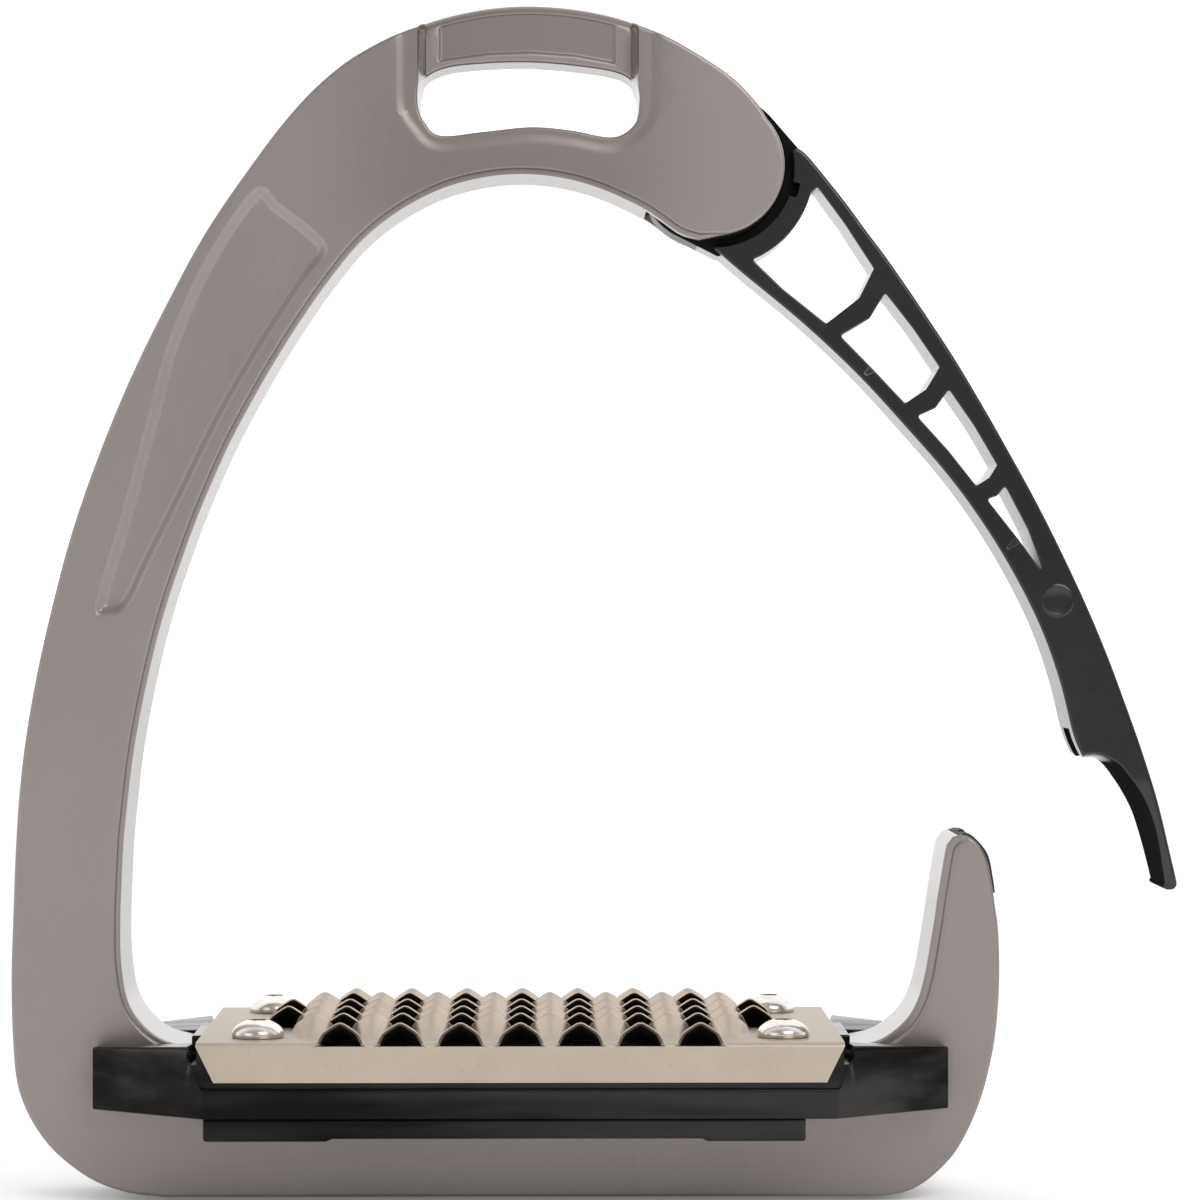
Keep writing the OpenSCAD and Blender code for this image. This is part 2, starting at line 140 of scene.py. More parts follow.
def offset(poly, d, closed=True):
    """Offset to the left of travel by d, keeping only points that are really that far away."""
    p = np.asarray(poly, float)
    if closed:
        prev, nxt = np.roll(p, 1, 0), np.roll(p, -1, 0)
    else:
        prev = np.vstack([2 * p[:1] - p[1:2], p[:-1]])
        nxt = np.vstack([p[1:], 2 * p[-1:] - p[-2:-1]])
    a, b = p - prev, nxt - p
    a /= np.linalg.norm(a, axis=1)[:, None]
    b /= np.linalg.norm(b, axis=1)[:, None]
    n1, n2 = np.c_[-a[:, 1], a[:, 0]], np.c_[-b[:, 1], b[:, 0]]
    m = n1 + n2
    m /= np.maximum(np.linalg.norm(m, axis=1), 1e-9)[:, None]
    k = 1 / np.maximum(np.sum(m * n1, axis=1), 0.6)
    q = p + m * (d * k)[:, None]
    return q[dist(q, p, closed) > abs(d) * 0.97]


def dist(P, poly, closed=False):
    P = np.asarray(P, float)
    poly = np.asarray(poly, float)
    a = poly if closed else poly[:-1]
    b = np.roll(poly, -1, 0) if closed else poly[1:]
    ab = b - a
    l2 = np.maximum(np.sum(ab * ab, axis=1), 1e-12)
    out = np.empty(len(P))
    for i in range(0, len(P), 1500):
        q = P[i:i + 1500, None, :] - a[None]
        t = np.clip(np.sum(q * ab[None], axis=2) / l2[None], 0, 1)
        q -= ab[None] * t[:, :, None]
        out[i:i + 1500] = np.sqrt(np.min(np.sum(q * q, axis=2), axis=1))
    return out


def inside(P, poly):
    P = np.asarray(P, float)
    x0, y0 = poly[:, 0], poly[:, 1]
    x1, y1 = np.roll(x0, -1), np.roll(y0, -1)
    out = np.zeros(len(P), bool)
    dy = np.where(y1 == y0, 1e-12, y1 - y0)
    for i in range(0, len(P), 1500):
        px, py = P[i:i + 1500, 0][:, None], P[i:i + 1500, 1][:, None]
        cross = ((y0 > py) != (y1 > py)) & (px < (x1 - x0) * (py - y0) / dy + x0)
        out[i:i + 1500] = cross.sum(axis=1) % 2 == 1
    return out


def round_drop(d, r):
    """How far a rounded edge of radius r lies below the flat at distance d from the edge."""
    r = np.maximum(r, 1e-6)
    t = np.clip(1 - d / r, 0, 1)
    return r - r * np.sqrt(np.maximum(1 - t * t, 0))


def round_steps(r, extra=0.25):
    return [r * (1 - math.cos(math.radians(a))) for a in (15, 30, 45, 60, 75, 90)] + [r + extra]


# ------------------------------------------------------------------ solids
def field_solid(outer, holes=(), top=None, bot=None, rings=(), grid=3.0, plane="XZ", lip=0.25):
    """A closed solid over a plan outline. top and bot give the two faces at plan points.
    rings are (polyline, closed) lines that the faces' edges follow."""
    pts, edges = [], []

    def add(poly, closed=True):
        i0, n = len(pts), len(poly)
        if n < 2:
            return
        pts.extend([(float(q[0]), float(q[1])) for q in poly])
        for i in range(n if closed else n - 1):
            edges.append((i0 + i, i0 + (i + 1) % n))

    outer = ccw(np.asarray(outer, float))
    add(outer)
    for h in holes:
        add(h)
    for poly, closed in rings:
        add(poly, closed)
    tree = KDTree(len(pts))
    for i, q in enumerate(pts):
        tree.insert((q[0], q[1], 0), i)
    tree.balance()
    lo, hi = outer.min(0), outer.max(0)
    gx, gy = np.arange(lo[0], hi[0], grid), np.arange(lo[1], hi[1], grid * 0.866)
    fill = np.array([(x + (grid / 2 if j % 2 else 0), y) for j, y in enumerate(gy) for x in gx])
    if len(fill):
        fill = fill[inside(fill, outer)]
        for x, y in fill:
            if tree.find((x, y, 0))[2] > grid * 0.55:
                pts.append((float(x), float(y)))
    co, _, tris, *_ = delaunay_2d_cdt([Vector(q) for q in pts], edges, [], 0, 1e-5)
    co = np.array([(v[0], v[1]) for v in co])
    tris = np.array([t for t in tris if len(t) == 3])
    mid = co[tris].mean(axis=1)
    keep = inside(mid, outer)
    for h in holes:
        keep &= ~inside(mid, np.asarray(h))
    tris = tris[keep]
    ar = np.cross(co[tris[:, 1]] - co[tris[:, 0]], co[tris[:, 2]] - co[tris[:, 0]])
    tris[ar < 0] = tris[ar < 0][:, ::-1]
    tris = tris[np.abs(ar) > 1e-9]
    used = np.unique(tris)
    remap = -np.ones(len(co), int)
    remap[used] = np.arange(len(used))
    co, tris = co[used], remap[tris]
    n = len(co)
    t, b = top(co), bot(co)
    if plane == "XZ":
        up = np.c_[co[:, 0], -t, co[:, 1]]
        dn = np.c_[co[:, 0], b, co[:, 1]]
        stepv = np.array([0, lip, 0])
    else:
        up = np.c_[co[:, 0], co[:, 1], t]
        dn = np.c_[co[:, 0], co[:, 1], b]
        stepv = np.array([0, 0, -lip])
    seen = {}
    for f in tris:
        for i in range(3):
            e = (int(f[i]), int(f[(i + 1) % 3]))
            seen[e] = True
    border = [e for e in seen if (e[1], e[0]) not in seen]
    ids = sorted({i for e in border for i in e})
    k = {v: i for i, v in enumerate(ids)}
    verts = [up, dn]
    faces = [tuple(map(int, f)) for f in tris] + [tuple(int(x) + n for x in f[::-1]) for f in tris]
    if lip > 0:
        verts += [up[ids] + stepv, dn[ids] - stepv]
        o1, o2 = 2 * n, 2 * n + len(ids)
        for a, c in border:
            faces.append((c, a, o1 + k[a], o1 + k[c]))
            faces.append((o1 + k[c], o1 + k[a], o2 + k[a], o2 + k[c]))
            faces.append((o2 + k[c], o2 + k[a], n + a, n + c))
    else:
        for a, c in border:
            faces.append((c, a, n + a, n + c))
    return np.vstack(verts), faces


def mesh_from(verts, faces, name="tmp"):
    me = bpy.data.meshes.new(name)
    me.from_pydata([tuple(v) for v in np.asarray(verts, float) * MM], [], faces)
    me.validate()
    bm = bmesh.new()
    bm.from_mesh(me)
    bmesh.ops.remove_doubles(bm, verts=bm.verts, dist=1e-7)
    bmesh.ops.recalc_face_normals(bm, faces=bm.faces)
    bm.to_mesh(me)
    bm.free()
    return me


def add_object(name, me):
    me.name = name
    o = bpy.data.objects.new(name, me)
    bpy.context.scene.collection.objects.link(o)
    return o


def lathe(profile, axis_point, axis="Z", n=48, flip=False):
    """profile is (radius, height) from the axis out and back to it; heights run along +axis."""
    verts, faces = [], []
    prof = list(profile)
    m = len(prof)
    for i in range(n):
        a = 2 * math.pi * i / n
        for r, h in prof:
            r = max(r, 1e-4)
            if axis == "Z":
                verts.append((axis_point[0] + r * math.cos(a), axis_point[1] + r * math.sin(a), h))
            else:
                verts.append((axis_point[0] + r * math.cos(a), h, axis_point[1] + r * math.sin(a)))
    for i in range(n):
        for j in range(m - 1):
            faces.append((i * m + j, ((i + 1) % n) * m + j, ((i + 1) % n) * m + j + 1, i * m + j + 1))
    return verts, faces


def prism(poly, y0, y1):
    """Closed prism of an XZ outline between two depths."""
    poly = ccw(np.asarray(poly, float))
    return field_solid(poly, top=lambda P: np.full(len(P), -y0), bot=lambda P: np.full(len(P), y1), grid=500, lip=0)


def cylinder_y(c, r, y0, y1, n=96):
    return prism(circle(c, r, n), y0, y1)


def boolean(o, cutters, op="DIFFERENCE"):
    """Applies exact booleans with the given (verts, faces) solids."""
    for verts, faces in cutters:
        c = add_object("cutter", mesh_from(verts, faces))
        m = o.modifiers.new("b", "BOOLEAN")
        m.object, m.operation, m.solver = c, op, "EXACT"
        dg = bpy.context.evaluated_depsgraph_get()
        new = bpy.data.meshes.new_from_object(o.evaluated_get(dg))
        o.modifiers.clear()
        old = o.data
        o.data = new
        bpy.data.meshes.remove(old)
        bpy.data.objects.remove(c)
    return o


def finish_piece(o, mat, body, nodes=(), sharp=32, weighted=True):
    me = o.data
    me.name = o.name
    me.materials.clear()
    me.materials.append(mat)
    bm = bmesh.new()
    bm.from_mesh(me)
    bmesh.ops.dissolve_degenerate(bm, dist=2e-7, edges=bm.edges)
    bmesh.ops.recalc_face_normals(bm, faces=bm.faces)
    bm.to_mesh(me)
    bm.free()
    me.shade_smooth()
    me.set_sharp_from_angle(angle=math.radians(sharp))
    if weighted:
        w = o.modifiers.new("normals", "WEIGHTED_NORMAL")
        w.keep_sharp = True
        w.mode = "FACE_AREA"
    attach(o, body)
    if nodes:
        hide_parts(*nodes)
    return o


# ------------------------------------------------------------------ materials
class Mat:
    def __init__(self, name, color, rough, metallic=0.0, **inputs):
        self.m = bpy.data.materials.new(name)
        self.m.use_nodes = True
        self.t = self.m.node_tree
        self.b = self.t.nodes["Principled BSDF"]
        self.b.inputs["Base Color"].default_value = (*color, 1)
        self.b.inputs["Roughness"].default_value = rough
        self.b.inputs["Metallic"].default_value = metallic
        for k, v in inputs.items():
            self.b.inputs[k.replace("_", " ")].default_value = v
        self.coord = self.t.nodes.new("ShaderNodeTexCoord")
        self.height = None

    def link(self, a, b):
        self.t.links.new(a, b)

    def noise(self, scale, stretch=(1, 1, 1), detail=4.0, rough=0.55):
        mp = self.t.nodes.new("ShaderNodeMapping")
        mp.inputs["Scale"].default_value = stretch
        self.link(self.coord.outputs["Object"], mp.inputs["Vector"])
        n = self.t.nodes.new("ShaderNodeTexNoise")
        n.inputs["Scale"].default_value = scale
        n.inputs["Detail"].default_value = detail
        n.inputs["Roughness"].default_value = rough
        self.link(mp.outputs["Vector"], n.inputs["Vector"])
        return n.outputs["Fac"]

    def voronoi(self, scale, stretch=(1, 1, 1)):
        mp = self.t.nodes.new("ShaderNodeMapping")
        mp.inputs["Scale"].default_value = stretch
        self.link(self.coord.outputs["Object"], mp.inputs["Vector"])
        n = self.t.nodes.new("ShaderNodeTexVoronoi")
        n.inputs["Scale"].default_value = scale
        self.link(mp.outputs["Vector"], n.inputs["Vector"])
        return n.outputs["Distance"]

    def ramp(self, src, stops, color=False):
        r = self.t.nodes.new("ShaderNodeValToRGB")
        e = r.color_ramp.elements
        while len(e) > 1:
            e.remove(e[-1])
        for i, (p, c) in enumerate(stops):
            c = (c, c, c, 1) if np.isscalar(c) else (*c, 1)
            if i == 0:
                e[0].position, e[0].color = p, c
            else:
                x = e.new(p)
                x.color = c
        self.link(src, r.inputs["Fac"])
        return r.outputs["Color"]

    def math(self, op, a, b=None):
        n = self.t.nodes.new("ShaderNodeMath")
        n.operation = op
        for i, v in enumerate((a, b)):
            if v is None:
                continue
            if isinstance(v, (int, float)):
                n.inputs[i].default_value = v
            else:
                self.link(v, n.inputs[i])
        return n.outputs[0]

    def mix(self, fac, a, b, blend="MIX"):
        n = self.t.nodes.new("ShaderNodeMix")
        n.data_type = "RGBA"
        n.blend_type = blend
        ins = [s for s in n.inputs if s.enabled]
        for s, v in zip((n.inputs[0], n.inputs[6], n.inputs[7]), (fac, a, b)):
            if isinstance(v, (int, float)):
                s.default_value = v
            elif isinstance(v, tuple):
                s.default_value = (*v, 1)
            else:
                self.link(v, s)
        return n.outputs[2]

    def map(self, src, a, b, c, d):
        r = self.t.nodes.new("ShaderNodeMapRange")
        r.interpolation_type = "SMOOTHSTEP"
        for k, v in (("From Min", a), ("From Max", b), ("To Min", c), ("To Max", d)):
            r.inputs[k].default_value = v
        self.link(src, r.inputs["Value"])
        return r.outputs[0]

    def normal(self, axis):
        n = self.t.nodes.new("ShaderNodeSeparateXYZ")
        self.link(self.coord.outputs["Normal"], n.inputs[0])
        return n.outputs[axis]

    def position(self, axis):
        n = self.t.nodes.new("ShaderNodeSeparateXYZ")
        self.link(self.coord.outputs["Object"], n.inputs[0])
        return n.outputs[axis]

    def color(self, out):
        self.link(out, self.b.inputs["Base Color"])

    def rough(self, src, lo, hi):
        r = self.t.nodes.new("ShaderNodeMapRange")
        r.inputs["To Min"].default_value = lo
        r.inputs["To Max"].default_value = hi
        self.link(src, r.inputs["Value"])
        self.link(r.outputs[0], self.b.inputs["Roughness"])

    def bump(self, src, strength, distance):
        n = self.t.nodes.new("ShaderNodeBump")
        n.inputs["Strength"].default_value = strength
        n.inputs["Distance"].default_value = distance
        self.link(src, n.inputs["Height"])
        if self.height is not None:
            self.link(self.height, n.inputs["Normal"])
        self.height = n.outputs["Normal"]
        self.link(self.height, self.b.inputs["Normal"])


def satin_alloy():
    m = Mat("satin_alloy", (0.34, 0.31, 0.295), 0.42, 1.0)
    grain = m.noise(1800, (1, 1, 0.16), 5, 0.6)
    fine = m.noise(5200, (1, 1, 0.5), 3, 0.6)
    broad = m.noise(30, (1, 1, 0.6), 3, 0.5)
    c = m.mix(m.ramp(broad, [(0.3, 0.0), (0.7, 1.0)]), (0.296, 0.264, 0.251), (0.324, 0.290, 0.276))
    c = m.mix(m.ramp(grain, [(0.35, 0.0), (0.65, 0.10)]), c, (0.25, 0.220, 0.210))
    c = m.mix(m.ramp(fine, [(0.62, 0.0), (0.8, 0.25)]), c, (0.42, 0.385, 0.37))
    # turned and milled side walls are smoother than the blasted faces; their lighter colour is painted reflection of
    # the bright backdrop
    wall = m.map(m.math("ABSOLUTE", m.normal("Y")), 0.25, 0.65, 1.0, 0.0)
    ay = m.math("ABSOLUTE", m.position("Y"))
    # painted shade: masks for the recessed panel above the slot and the crown of the arch
    high = m.map(m.position("Z"), 0.166, 0.1664, 0.0, 1.0)
    face = m.math("SUBTRACT", 1.0, wall)
    panel = m.math("MULTIPLY", m.math("MULTIPLY", m.map(ay, 0.00462, 0.00476, 1.0, 0.0), high), face)
    near = m.map(m.math("ABSOLUTE", m.position("X")), 0.010, 0.038, 1.0, 0.0)
    crown_shade = m.math("MULTIPLY", m.math("MULTIPLY", near, m.map(m.position("Z"), 0.136, 0.152, 0.0, 1.0)),
                   m.math("MULTIPLY", m.map(ay, 0.0052, 0.0058, 0.0, 1.0), face))
    # painted shade darkens the recessed panel and the crown of the arch
    c = m.mix(m.math("MULTIPLY", panel, 0.8), c, (0.235, 0.206, 0.195))
    c = m.mix(m.math("MULTIPLY", crown_shade, 0.9), c, (0.240, 0.211, 0.200))
    # painted reflection: side walls are lightened in colour
    c = m.mix(m.math("MULTIPLY", wall, 0.8), c, (0.36, 0.345, 0.335))
    m.color(c)
    rough = m.math("ADD", m.math("MULTIPLY", m.map(grain, 0.0, 1.0, 0.39, 0.47), face),
                   m.math("MULTIPLY", m.map(grain, 0.0, 1.0, 0.22, 0.30), wall))
    m.link(rough, m.b.inputs["Roughness"])
    m.bump(grain, 0.10, 0.00006)
    m.bump(fine, 0.12, 0.00003)
    return m.m


def black_polymer():
    m = Mat("black_polymer", (0.012, 0.011, 0.0105), 0.16, Specular_IOR_Level=0.5)
    n = m.noise(900, detail=4)
    broad = m.noise(45, detail=2)
    fine = m.noise(4200, detail=2)
    m.color(m.mix(m.ramp(broad, [(0.3, 0.0), (0.75, 1.0)]), (0.010, 0.009, 0.009), (0.017, 0.0155, 0.0145)))
    m.rough(n, 0.12, 0.24)
    # painted shade: specular is cut on the floors of the hub groove and notch, on the lip's inner wall and on the hub
    # near the pivot, so they read dark as shade
    floor = m.math("MULTIPLY", m.map(m.math("ABSOLUTE", m.position("Y")), 0.0052, 0.0056, 1.0, 0.0),
                   m.map(m.math("ABSOLUTE", m.normal("Y")), 0.5, 0.7, 0.0, 1.0))
    lip = m.math("MULTIPLY", m.map(m.position("Z"), 0.0645, 0.0662, 1.0, 0.0), m.map(m.normal("X"), -0.45, -0.12, 1.0, 0.0))
    dx, dz = m.math("SUBTRACT", m.position("X"), 0.0289), m.math("SUBTRACT", m.position("Z"), 0.1538)
    rr = m.math("SQRT", m.math("ADD", m.math("MULTIPLY", dx, dx), m.math("MULTIPLY", dz, dz)))
    hub = m.map(rr, 0.0119, 0.0121, 0.94, 0.0)
    painted_shade = m.math("MAXIMUM", m.math("MAXIMUM", floor, lip), hub)
    m.link(m.map(painted_shade, 0.0, 1.0, 0.5, 0.0), m.b.inputs["Specular IOR Level"])
    m.bump(broad, 0.10, 0.0004)
    m.bump(fine, 0.05, 0.00002)
    return m.m


def smoked_polymer():
    m = Mat("smoked_polymer", (0.010, 0.009, 0.008), 0.14, Specular_IOR_Level=0.17)
    n = m.noise(700, (0.25, 1, 1), 4)
    broad = m.noise(60, (0.3, 1, 1), 3)
    streak = m.noise(75, (0.10, 0.6, 1), 4, 0.6)
    st = m.ramp(streak, [(0.40, 0.0), (0.62, 1.0)])
    c = m.mix(m.ramp(broad, [(0.35, 0.0), (0.7, 1.0)]), (0.003, 0.0027, 0.0025), (0.009, 0.0078, 0.007))
    m.color(m.mix(m.math("MULTIPLY", st, 0.7), c, (0.017, 0.0142, 0.0125)))
    m.link(m.map(st, 0.0, 1.0, 0.06, 0.30), m.b.inputs["Specular IOR Level"])
    m.rough(n, 0.10, 0.24)
    m.bump(broad, 0.6, 0.0009)
    m.bump(n, 0.03, 0.00004)
    return m.m


def stainless_sheet():
    m = Mat("stainless_sheet", (0.56, 0.51, 0.44), 0.42, 1.0)
    fine = m.noise(3600, (1, 1, 1), 4, 0.65)
    broad = m.noise(120, (1, 1, 1), 3, 0.5)
    spots = m.noise(900, (1, 1, 1), 2, 0.5)
    c = m.mix(m.ramp(broad, [(0.3, 0.0), (0.7, 1.0)]), (0.515, 0.440, 0.362), (0.580, 0.500, 0.415))
    c = m.mix(m.ramp(fine, [(0.4, 0.0), (0.7, 0.3)]), c, (0.42, 0.35, 0.285))
    c = m.mix(m.ramp(spots, [(0.66, 0.0), (0.74, 0.35)]), c, (0.38, 0.31, 0.245))
    # painted shade: up-facing flats of the sheet are darkened
    c = m.mix(m.map(m.normal("Z"), 0.75, 0.95, 0.0, 0.85), c, (0.40, 0.345, 0.29))
    # painted shade: downward-facing undersides of the teeth in the mouths are darkened
    tooth_underside_shade = m.math("MULTIPLY", m.map(m.normal("Z"), -0.12, 0.0, 1.0, 0.0), m.map(m.position("Z"), 0.0245, 0.0249, 0.0, 1.0))
    c = m.mix(m.math("MULTIPLY", tooth_underside_shade, 0.92), c, (0.085, 0.070, 0.062))
    m.color(c)
    m.rough(fine, 0.40, 0.58)
    m.bump(fine, 0.14, 0.00003)
    m.bump(broad, 0.05, 0.0002)
    return m.m


def bright_steel():
    m = Mat("bright_steel", (0.72, 0.69, 0.64), 0.2, 1.0)
    broad = m.noise(420, detail=3)
    fine = m.noise(4800, detail=3)
    c = m.mix(m.ramp(broad, [(0.35, 0.0), (0.7, 1.0)]), (0.66, 0.625, 0.575), (0.79, 0.765, 0.72))
    m.color(c)
    m.rough(fine, 0.14, 0.30)
    m.bump(broad, 0.25, 0.00025)
    m.bump(fine, 0.05, 0.00002)
    return m.m


def black_rubber():
    m = Mat("black_rubber", (0.012, 0.012, 0.012), 0.6, Specular_IOR_Level=0.35)
    fine = m.noise(5200, detail=3)
    broad = m.noise(260, detail=3)
    m.color(m.mix(m.ramp(broad, [(0.3, 0.0), (0.7, 1.0)]), (0.009, 0.009, 0.009), (0.017, 0.0165, 0.016)))
    m.rough(fine, 0.5, 0.72)
    m.bump(fine, 0.25, 0.00004)
    return m.m


def simple_metal(name, c0, c1, r0, r1, stretch=(1, 1, 1)):
    m = Mat(name, c0, (r0 + r1) / 2, 1.0)
    n = m.noise(1600, stretch, 4)
    broad = m.noise(300, detail=2)
    m.color(m.mix(m.ramp(broad, [(0.3, 0.0), (0.7, 1.0)]), c0, c1))
    m.rough(n, r0, r1)
    m.bump(n, 0.12, 0.00004)
    return m.m


M_ALLOY = satin_alloy()
M_ARM = black_polymer()
M_BASE = smoked_polymer()
M_PLATE = stainless_sheet()
M_BRIGHT = bright_steel()
M_RUBBER = black_rubber()
M_SPRING = simple_metal("spring_steel", (0.50, 0.49, 0.48), (0.60, 0.59, 0.57), 0.2, 0.38)
M_DARK = simple_metal("dark_steel", (0.10, 0.10, 0.105), (0.15, 0.15, 0.15), 0.3, 0.5)
M_BRASS = simple_metal("brass", (0.62, 0.44, 0.18), (0.72, 0.54, 0.26), 0.22, 0.4)

# ------------------------------------------------------------------ frame
frame_outer = [[-53, 0], [-58.5, 0.7], [-63.8, 2.6], [-68.9, 6.3], [-72, 10], [-74.1, 14], [-75.2, 18],
    [-75.7, 24], [-75.9, 32], [-75.7, 40], [-75.1, 54.7], [-74.1, 66], [-72.3, 77], [-69.8, 88.2],
    [-66.8, 99.4], [-62.9, 110.6], [-58.3, 121.8], [-52.9, 132.9], [-46.8, 144.1], [-39.1, 155.3],
    [-34, 161.8], [-29.4, 166.5], [-24.2, 170.4], [-16.9, 174], [-7.9, 176.4], [1.3, 177.2],
    [11.3, 176.3], [19.8, 173.9], [26.9, 170.1], [32, 166.5], [35.4, 162.9]]
frame_inner_arch = [[26.6, 142.8], [23.7, 143.7], [20.7, 145.8], [17.7, 147.7], [11.7, 150.4],
    [5.8, 152], [-0.2, 152.5], [-6.1, 151.9], [-12.1, 150.2], [-18.2, 147], [-23.7, 142.6],
    [-28.6, 136.7], [-32.8, 130.7], [-36.6, 124.7], [-40, 118.8], [-43.2, 112.8], [-45.9, 106.9],
    [-48.4, 100.9], [-50.6, 94.9], [-52.6, 89], [-54.3, 83], [-55.7, 77], [-56.9, 71.1], [-57.9, 65.1],
    [-58.6, 59.2], [-59.2, 53.2], [-59.5, 47.2], [-59.7, 41.3], [-59.6, 35.3], [-58.7, 29.6],
    [-56.6, 26], [-53.4, 23.5], [-49.4, 22.5]]
frame_inner_stub = [[49.4, 22.5], [53.6, 23.4], [57.3, 26.2], [59.2, 29.4], [60.2, 32.9], [60.7, 35.5],
    [61.2, 38.5], [61.7, 41.5], [62.1, 44.4], [62.6, 47.4], [63.15, 50.7], [63.5, 52.4]]
frame_outer_stub = [[64.4, 53.6], [66.2, 53.9], [68.1, 52.7], [69.5, 50.2], [70.2, 47], [70.7, 43.5],
    [71.2, 39.8], [71.4, 34], [71.2, 28.5], [70.6, 22.8], [69.4, 17.2], [68.2, 13.4], [66.5, 9.5],
    [64.2, 5.8], [60.5, 2.3], [57.2, 0.6], [53.4, 0]]
eye = [[-15.4, 162.9], [-14.4, 160.2], [-12, 158.2], [-5.5, 158.8], [1.5, 159.5], [7.5, 159],
    [13.6, 158], [16.8, 159.8], [17.6, 162.8], [17.2, 166], [14.5, 168.1], [7.9, 169.2],
    [1.3, 169.7], [-5, 169.55], [-11.4, 168.8], [-14.9, 166.7]]
pocket = [[-39.5, 149.8], [-46.5, 139.8], [-52, 127.6], [-55, 116.6], [-59.3, 100.8], [-63, 88.2],
    [-61.8, 87.2], [-58.8, 88.2], [-55.4, 95], [-50.8, 104.2], [-45, 116], [-39, 126.4],
    [-32.4, 136.6], [-29.2, 141], [-31.2, 143.8], [-36.4, 147.8]]

STEP = 0.7
REC_L, REC_R = -15.5, 17.56
f_outer = resample(catmull(frame_outer, 8), STEP)
f_outer[:, 1] += (0.8 + 0.3 * (1 - ((f_outer[:, 0] - 1) / 16.5) ** 2)) * np.minimum(
    sstep((f_outer[:, 0] - REC_L) / 0.9), sstep((REC_R - f_outer[:, 0]) / 0.9))
f_cheek = resample(arc(PIV, 10.45, 42, -78, 60), STEP)
f_arch = resample(catmull(frame_inner_arch, 8), STEP)
f_stub_in = resample(catmull(frame_inner_stub, 8), STEP)
f_stub_out = resample(catmull(frame_outer_stub, 8), STEP)
f_loop = ccw(join(f_outer, f_cheek, f_arch, resample([[-49.4, 22.5], [49.4, 22.5]], 2.5), f_stub_in,
                  f_stub_out, resample([[53.4, 0], [-53, 0]], 2.5)))
tip_wrap = f_stub_out[(f_stub_out[:, 1] > 51.6) & (f_stub_out[:, 0] < 65.2)]
line_in_a = f_arch
line_in_b = join(f_stub_in, tip_wrap)
line_bar = resample([[-49.4, 22.5], [49.4, 22.5]], 2.5)
line_out = join(f_outer, f_cheek)
line_out_b = join(f_stub_out[(f_stub_out[:, 1] <= 51.6) | (f_stub_out[:, 0] > 65.0)], resample([[53.4, 0], [-53, 0]], 2.5))
eye_loop = ccw(resample(catmull(eye, 8, True), 0.55, True))
pocket_loop = ccw(resample(catmull(pocket, 8, True), 0.8, True))
low_eye = resample(catmull(eye, 8, True), 0.55, True)
low_eye = np.array([q for q in catmull(eye + eye[:1], 10)[:-1] if q[1] <= 162.7])
i0 = int(np.argmin(low_eye[:, 0]))
low_eye = np.vstack([low_eye[i0:], low_eye[:i0]])
if low_eye[0][0] > low_eye[-1][0]:
    low_eye = low_eye[::-1]
band_line = join(resample([[REC_L, 180], [REC_L, 162.8]], 0.8), low_eye, resample([[REC_R, 162.8], [REC_R, 180]], 0.8))

RAB_D = [0, 0.03, 0.10, 0.20, 0.32, 0.46, 1.10, 1.16, 1.22, 1.30, 1.42, 1.60, 1.85, 2.1]
RAB_H = [0.86, 0.72, 0.60, 0.53, 0.49, 0.48, 0.48, 0.42, 0.30, 0.18, 0.08, 0.02, 0.0, 0.0]


def frame_face(P, rear=False):
    d_in = np.minimum(dist(P, line_in_a) / 0.64, dist(P, line_in_b))
    d_bar = dist(P, line_bar)
    d_out = np.minimum(dist(P, line_out), dist(P, line_out_b))
    drop = np.maximum(np.interp(d_in, RAB_D, RAB_H), round_drop(np.minimum(d_out, d_bar), 0.5))
    x, z = P[:, 0], P[:, 1]
    # soft step round the slot and beside the recess
    db = dist(P, band_line)
    width = 0.9 + 1.0 * sstep((z - 158.5) / 5)
    drop = drop + 0.26 * sstep((width + 1.7 - db) / 1.7) * (z > 150)
    ds = dist(P, eye_loop, True)
    drop = drop + round_drop(ds, 0.35)
    # long pocket
    dp = dist(P, pocket_loop, True)
    sd = np.where(inside(P, pocket_loop), dp, -dp)
    drop = drop + 0.85 * sstep((sd + 0.6) / 1.9)
    lev = 10 - drop
    # recessed bar above the slot
    t = np.minimum(sstep((x - REC_L) / 1.2), sstep((REC_R - x) / 1.1)) * (z > 162.6)
    bar = np.full(len(P), 4.85)
    lip_z = np.interp(x, [-13, -5, 1.3, 8, 15.5], [169.55, 170.65, 170.9, 170.45, 169.05])
    panel = np.minimum(np.minimum(sstep((x + 12.5) / 0.45), sstep((14.3 - x) / 0.45)), sstep((z - lip_z) / 0.5))
    panel = panel * sstep((d_out - 1.15) / 0.3)
    bar -= 0.34 * panel
    bar -= np.maximum(1.3 - d_out, 0) * 0.55
    bar -= round_drop(d_out, 0.8) + round_drop(ds, 0.45)
    lev = lev * (1 - t) + bar * t
    # grooves for the clamp rails
    g = (x > -46.2) & (x < 41.7) & (z > 10.9) & (z < 13.7)
    lev = np.where(g, 9.0, lev)
    if rear:
        r = np.hypot(x - PIV[0], z - PIV[1])
        lev = np.where(r < 4.7, 10 - 1.4, lev)
        lev -= round_drop(np.maximum(r - 4.7, 0), 0.35) * (r >= 4.7) * 0.8
    return lev


